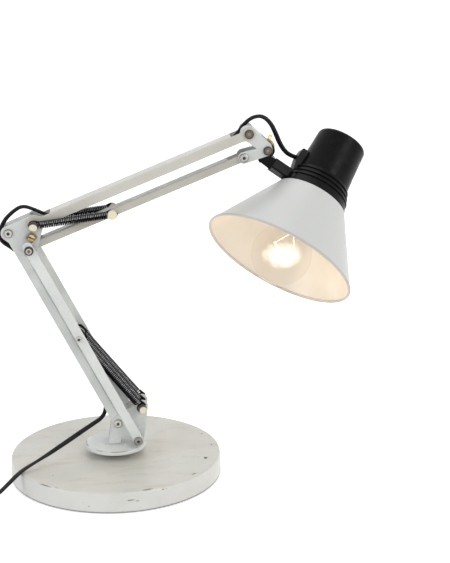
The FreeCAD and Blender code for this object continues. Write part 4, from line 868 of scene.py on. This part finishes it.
def makeSpring(tree, name, values, start, end, y, material):
    first = Vector((start.x, y * mm, start.z))
    last = Vector((end.x, y * mm, end.z))
    way = (last - first).normalized()
    radius = (values["coilDiameter"] - values["wire"]) / 2
    length = (last - first).length - 2 * values["lead"]
    curls = nodesMesh(tree, name, {"turns": float(values["turns"]), "length": length, "radius": radius,
                                   "wire": values["wire"], "finish": material})
    side = Vector((-way.z, 0, way.x))
    turned = Matrix((side, way.cross(side), way)).transposed().to_4x4()
    curls.transform(Matrix.Translation(first + way * values["lead"]) @ turned)
    shadeSmooth(curls)
    # How far each point of the curls looks up and forward, for the painted glint along the spring
    row = curls.attributes.new("row", "FLOAT", "POINT")
    towards = Vector(springSteel["way"])
    towards = (towards - way * towards.dot(way)).normalized()
    for vertex, value in zip(curls.vertices, row.data):
        spoke = vertex.co - first
        value.value = (spoke - way * spoke.dot(way)).normalized().dot(towards)
    near = hookPath(first, way, radius, values["startRing"], values["lead"])
    far = hookPath(last, -way, -radius, -values["endRing"], values["lead"])
    spring = joinMeshes(name, [curls, makeHook(name + "Hook", near, values["hookWire"], material),
                               makeHook(name + "FarHook", far, values["hookWire"], material)])
    spring.data.update()
    return spring, first, last


def makeSprings(made):
    tree = coilTree()
    for name, (node, y) in springPlaces.items():
        lower = "Lower" in name
        values = lowerSpring if lower else upperSpring
        start = springPins["frontBarPin" if lower else "elbowTop"]
        end = springPins["lowerPost" if lower else "upperPost"]
        spring, first, last = makeSpring(tree, name, values, start, end, y, made["springSteel"])
        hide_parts(node)
        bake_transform(spring)


# The flex: two cores side by side, black and limp

flex = {"width": 5.0 * mm, "thickness": 3.3 * mm, "sides": 24, "fullness": 1.05,
        "waist": 0.32, "waistWidth": 0.8 * mm, "stepsPerPoint": 10}

# Its stretches from the lamp to the coil: each has the solid it stands for, the bodies that carry its ends,
# how far its wide side is turned towards the front at each end, and the solid's own control points
flexStretches = [
    {"name": "flexTail", "node": "cord_head_tail", "bodies": ("head", "tilt"), "turns": (55, 65),
     "points": [(0.18755, 0.01031, 0.32265), (0.1792, 0.0070, 0.3256), (0.1723, 0.0045, 0.3326)]},
    {"name": "flexLoop", "node": "cord_head_loop", "bodies": ("tilt", "head_carrier"), "turns": (65, 35),
     "points": [(0.1676, 0.0025, 0.3416), (0.1639, 0.0010, 0.3509), (0.1593, 0.0005, 0.3600)]},
    {"name": "flexRise", "node": "cord_head_rise", "bodies": ("head_carrier", "top_bar"), "turns": (35, 50),
     "points": [(0.1516, 0, 0.3669), (0.1420, 0, 0.3660), (0.1336, 0, 0.3596), (0.1267, 0, 0.3495)]},
    {"name": "flexUpperArm", "node": "cord_upper_arm", "bodies": ("top_bar",), "turns": (50, 25),
     "points": [(0.1194, 0, 0.3422), (0.0987, 0, 0.3348)]},
    {"name": "flexElbowTop", "node": "cord_elbow_top", "bodies": ("top_bar", "elbow"), "turns": (25, 35),
     "points": [(-0.0349, 0, 0.2811), (-0.0511, 0, 0.2730), (-0.0614, 0, 0.2729), (-0.0717, 0, 0.2780)]},
    {"name": "flexElbowSide", "node": "cord_elbow_side", "bodies": ("elbow", "rear_bar"), "turns": (35, 60),
     "points": [(-0.0847, 0, 0.2831), (-0.0948, 0, 0.2767), (-0.1028, 0, 0.2688), (-0.1077, 0, 0.2584),
                (-0.1078, 0, 0.2483)]},
    {"name": "flexLowerArm", "node": "cord_lower_arm", "bodies": ("rear_bar",), "turns": (60, 20),
     "points": [(-0.0959, 0, 0.2402), (-0.0855, 0, 0.2310)]},
    {"name": "flexFoot", "node": "cord_foot", "bodies": ("rear_bar", "swivel"), "turns": (20, 85),
     "points": [(-0.0176, 0, 0.0968), (-0.0096, 0, 0.0818), (-0.0094, -0.0010, 0.0616)]},
]
freeRoute = [Vector(place) for place in (
    (-0.0270, -0.0090, 0.0530), (-0.0490, -0.0204, 0.0421), (-0.0720, -0.0330, 0.0312),
    (-0.0935, -0.0495, 0.0247), (-0.1050, -0.0620, 0.0175), (-0.1160, -0.0725, 0.0100),
    (-0.1290, -0.0815, 0.0046), (-0.1430, -0.0880, 0.0021), (-0.1575, -0.0910, 0.0016))]
putAway = {"outerRadius": 37.0 * mm, "turns": 3, "topTurns": 2.75, "pitch": 5.6 * mm, "layer": 3.4 * mm,
           "pointsPerTurn": 12, "lead": 5.0 * mm, "plugHeight": 8.2 * mm,
           "layDownSteps": 34}  # rings over which the flex turns from upright to flat


def flexSection():
    # Two cores with a shallow groove between them
    section = []
    for i in range(flex["sides"]):
        angle = 2 * math.pi * i / flex["sides"]
        across = math.cos(angle) * flex["width"] / 2
        high = math.sin(angle) * flex["thickness"] / 2
        groove = math.exp(-((across / flex["waistWidth"]) ** 2))
        section.append((across, high * (flex["fullness"] - flex["waist"] * groove)))
    return section


def splinePath(name, points):
    # The points of a smooth curve with these control points, as Blender gives them
    data = bpy.data.curves.new(name + "Line", "CURVE")
    data.dimensions = "3D"
    data.resolution_u = flex["stepsPerPoint"]
    spline = data.splines.new("NURBS")
    spline.points.add(len(points) - 1)
    for point, place in zip(spline.points, points):
        point.co = (*place, 1)
    spline.order_u = 3
    spline.use_endpoint_u = True
    item = newObject(name + "Line", data)
    graph = bpy.context.evaluated_depsgraph_get()
    mesh = bpy.data.meshes.new_from_object(item.evaluated_get(graph))
    path = [v.co.copy() for v in mesh.vertices]
    bpy.data.objects.remove(item)
    return path


def flexPiece(name, path, wideSides, material):
    item = newObject(name, tubeMesh(name, path, flexSection(), wideSides, material))
    return item


def halfway(first, second):
    return (first + second) * 0.5


def uprightSide(ahead, angle):
    # The way of the wide side where it is turned from across the lamp by an angle in radians
    return Vector((0, math.cos(angle), 0)) + ahead.cross(Vector((0, 1, 0))) * math.sin(angle)


def makeFlex(material):
    for i, values in enumerate(flexStretches):
        points = [Vector(place) for place in values["points"]]
        after = flexStretches[i + 1]["points"] if i + 1 < len(flexStretches) else freeRoute
        points += [Vector(place) for place in after[:2]]
        if i:
            points[0] = halfway(points[0], points[1])
        points[-1] = halfway(points[-2], points[-1])
        path = splinePath(values["name"], points)
        sides = []
        for j in range(len(path)):
            part = j / (len(path) - 1)
            angle = math.radians(values["turns"][0] * (1 - part) + values["turns"][1] * part)
            sides.append(uprightSide(aheadAt(path, j), angle))
        piece = flexPiece(values["name"], path, sides, material)
        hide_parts(values["node"])
        if len(values["bodies"]) == 1:
            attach(piece, values["bodies"][0])
        else:
            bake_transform(piece)


def coilPoints():
    # Control points of the put-away coil: inwards on the table, up a layer and outwards again to the plug
    entry = freeRoute[-1]
    way = entry - freeRoute[-2]
    way.z = 0
    way.normalize()
    centre = entry + way * putAway["lead"] + Vector((way.y, -way.x, 0)) * putAway["outerRadius"]
    startAngle = math.atan2(way.x, -way.y)
    winding = 2 * math.pi * putAway["turns"]
    total = winding + math.pi + 2 * math.pi * putAway["topTurns"]
    inner = putAway["outerRadius"] - putAway["pitch"] * putAway["turns"]
    count = round(total / (2 * math.pi) * putAway["pointsPerTurn"])
    points = []
    for i in range(1, count + 1):
        turn = total * i / count
        height = entry.z
        if turn < winding:
            radius = putAway["outerRadius"] - putAway["pitch"] * turn / (2 * math.pi)
        elif turn < winding + math.pi:
            part = (turn - winding) / math.pi
            radius = inner - putAway["pitch"] * min(part, 1 - part) / 2
            height += putAway["layer"] * (1 - math.cos(math.pi * part)) / 2
        else:
            radius = inner + putAway["pitch"] * (turn - winding - math.pi) / (2 * math.pi)
            rising = max(0.0, (turn - total) / math.pi + 1)
            height += putAway["layer"]
            height += (putAway["plugHeight"] - height) * ease(rising)
        angle = startAngle - turn
        place = (centre.x + radius * math.cos(angle), centre.y + radius * math.sin(angle), height)
        points.append(Vector(place))
    way = points[-1] - points[-2]
    way.z = 0
    points.append(points[-1] + way.normalized() * putAway["lead"])
    return points


def makeFreeFlex(material):
    points = [halfway(freeRoute[0], freeRoute[1])] + freeRoute[1:] + coilPoints()
    path = splinePath("freeFlex", points)
    sides = []
    standing = math.radians(flexStretches[-1]["turns"][1])
    for i in range(len(path)):
        ahead = aheadAt(path, i)
        flat = ahead.cross(Vector((0, 0, 1))).normalized()
        laid = ease(min(1.0, i / putAway["layDownSteps"]))
        sides.append(uprightSide(ahead, standing).lerp(flat, laid))
    piece = flexPiece("freeFlex", path, sides, material)
    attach(piece, "swivel")
    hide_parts("cord_free", "cord_coil")


# Soft black vinyl, a little dusty, with a faint matt grain
vinyl = {
    "base": (0.005, 0.005, 0.0055), "dust": (0.022, 0.021, 0.020), "roughness": (0.32, 0.48), "shine": 0.25,
    "dustSpots": {"scale": 120, "detail": 5, "roughness": 0.7, "between": (0.55, 0.85), "most": 0.5},
    "gloss": (70, 3), "grain": (900, 2, 0.15, 0.2 * mm),
}


makeCamera()
flexMaterial = dustyMaterial("blackFlex", vinyl)
makeFreeFlex(flexMaterial)
makeFlex(flexMaterial)
print("camera and flex made")
makeLights()
makeWorld()
makeFloor()
finishes = dressNodes()
print("nodes dressed")
makeBulbLight()
makeSprings(finishes)
print("springs made")

scene = bpy.context.scene
scene.view_settings.view_transform = "Standard"
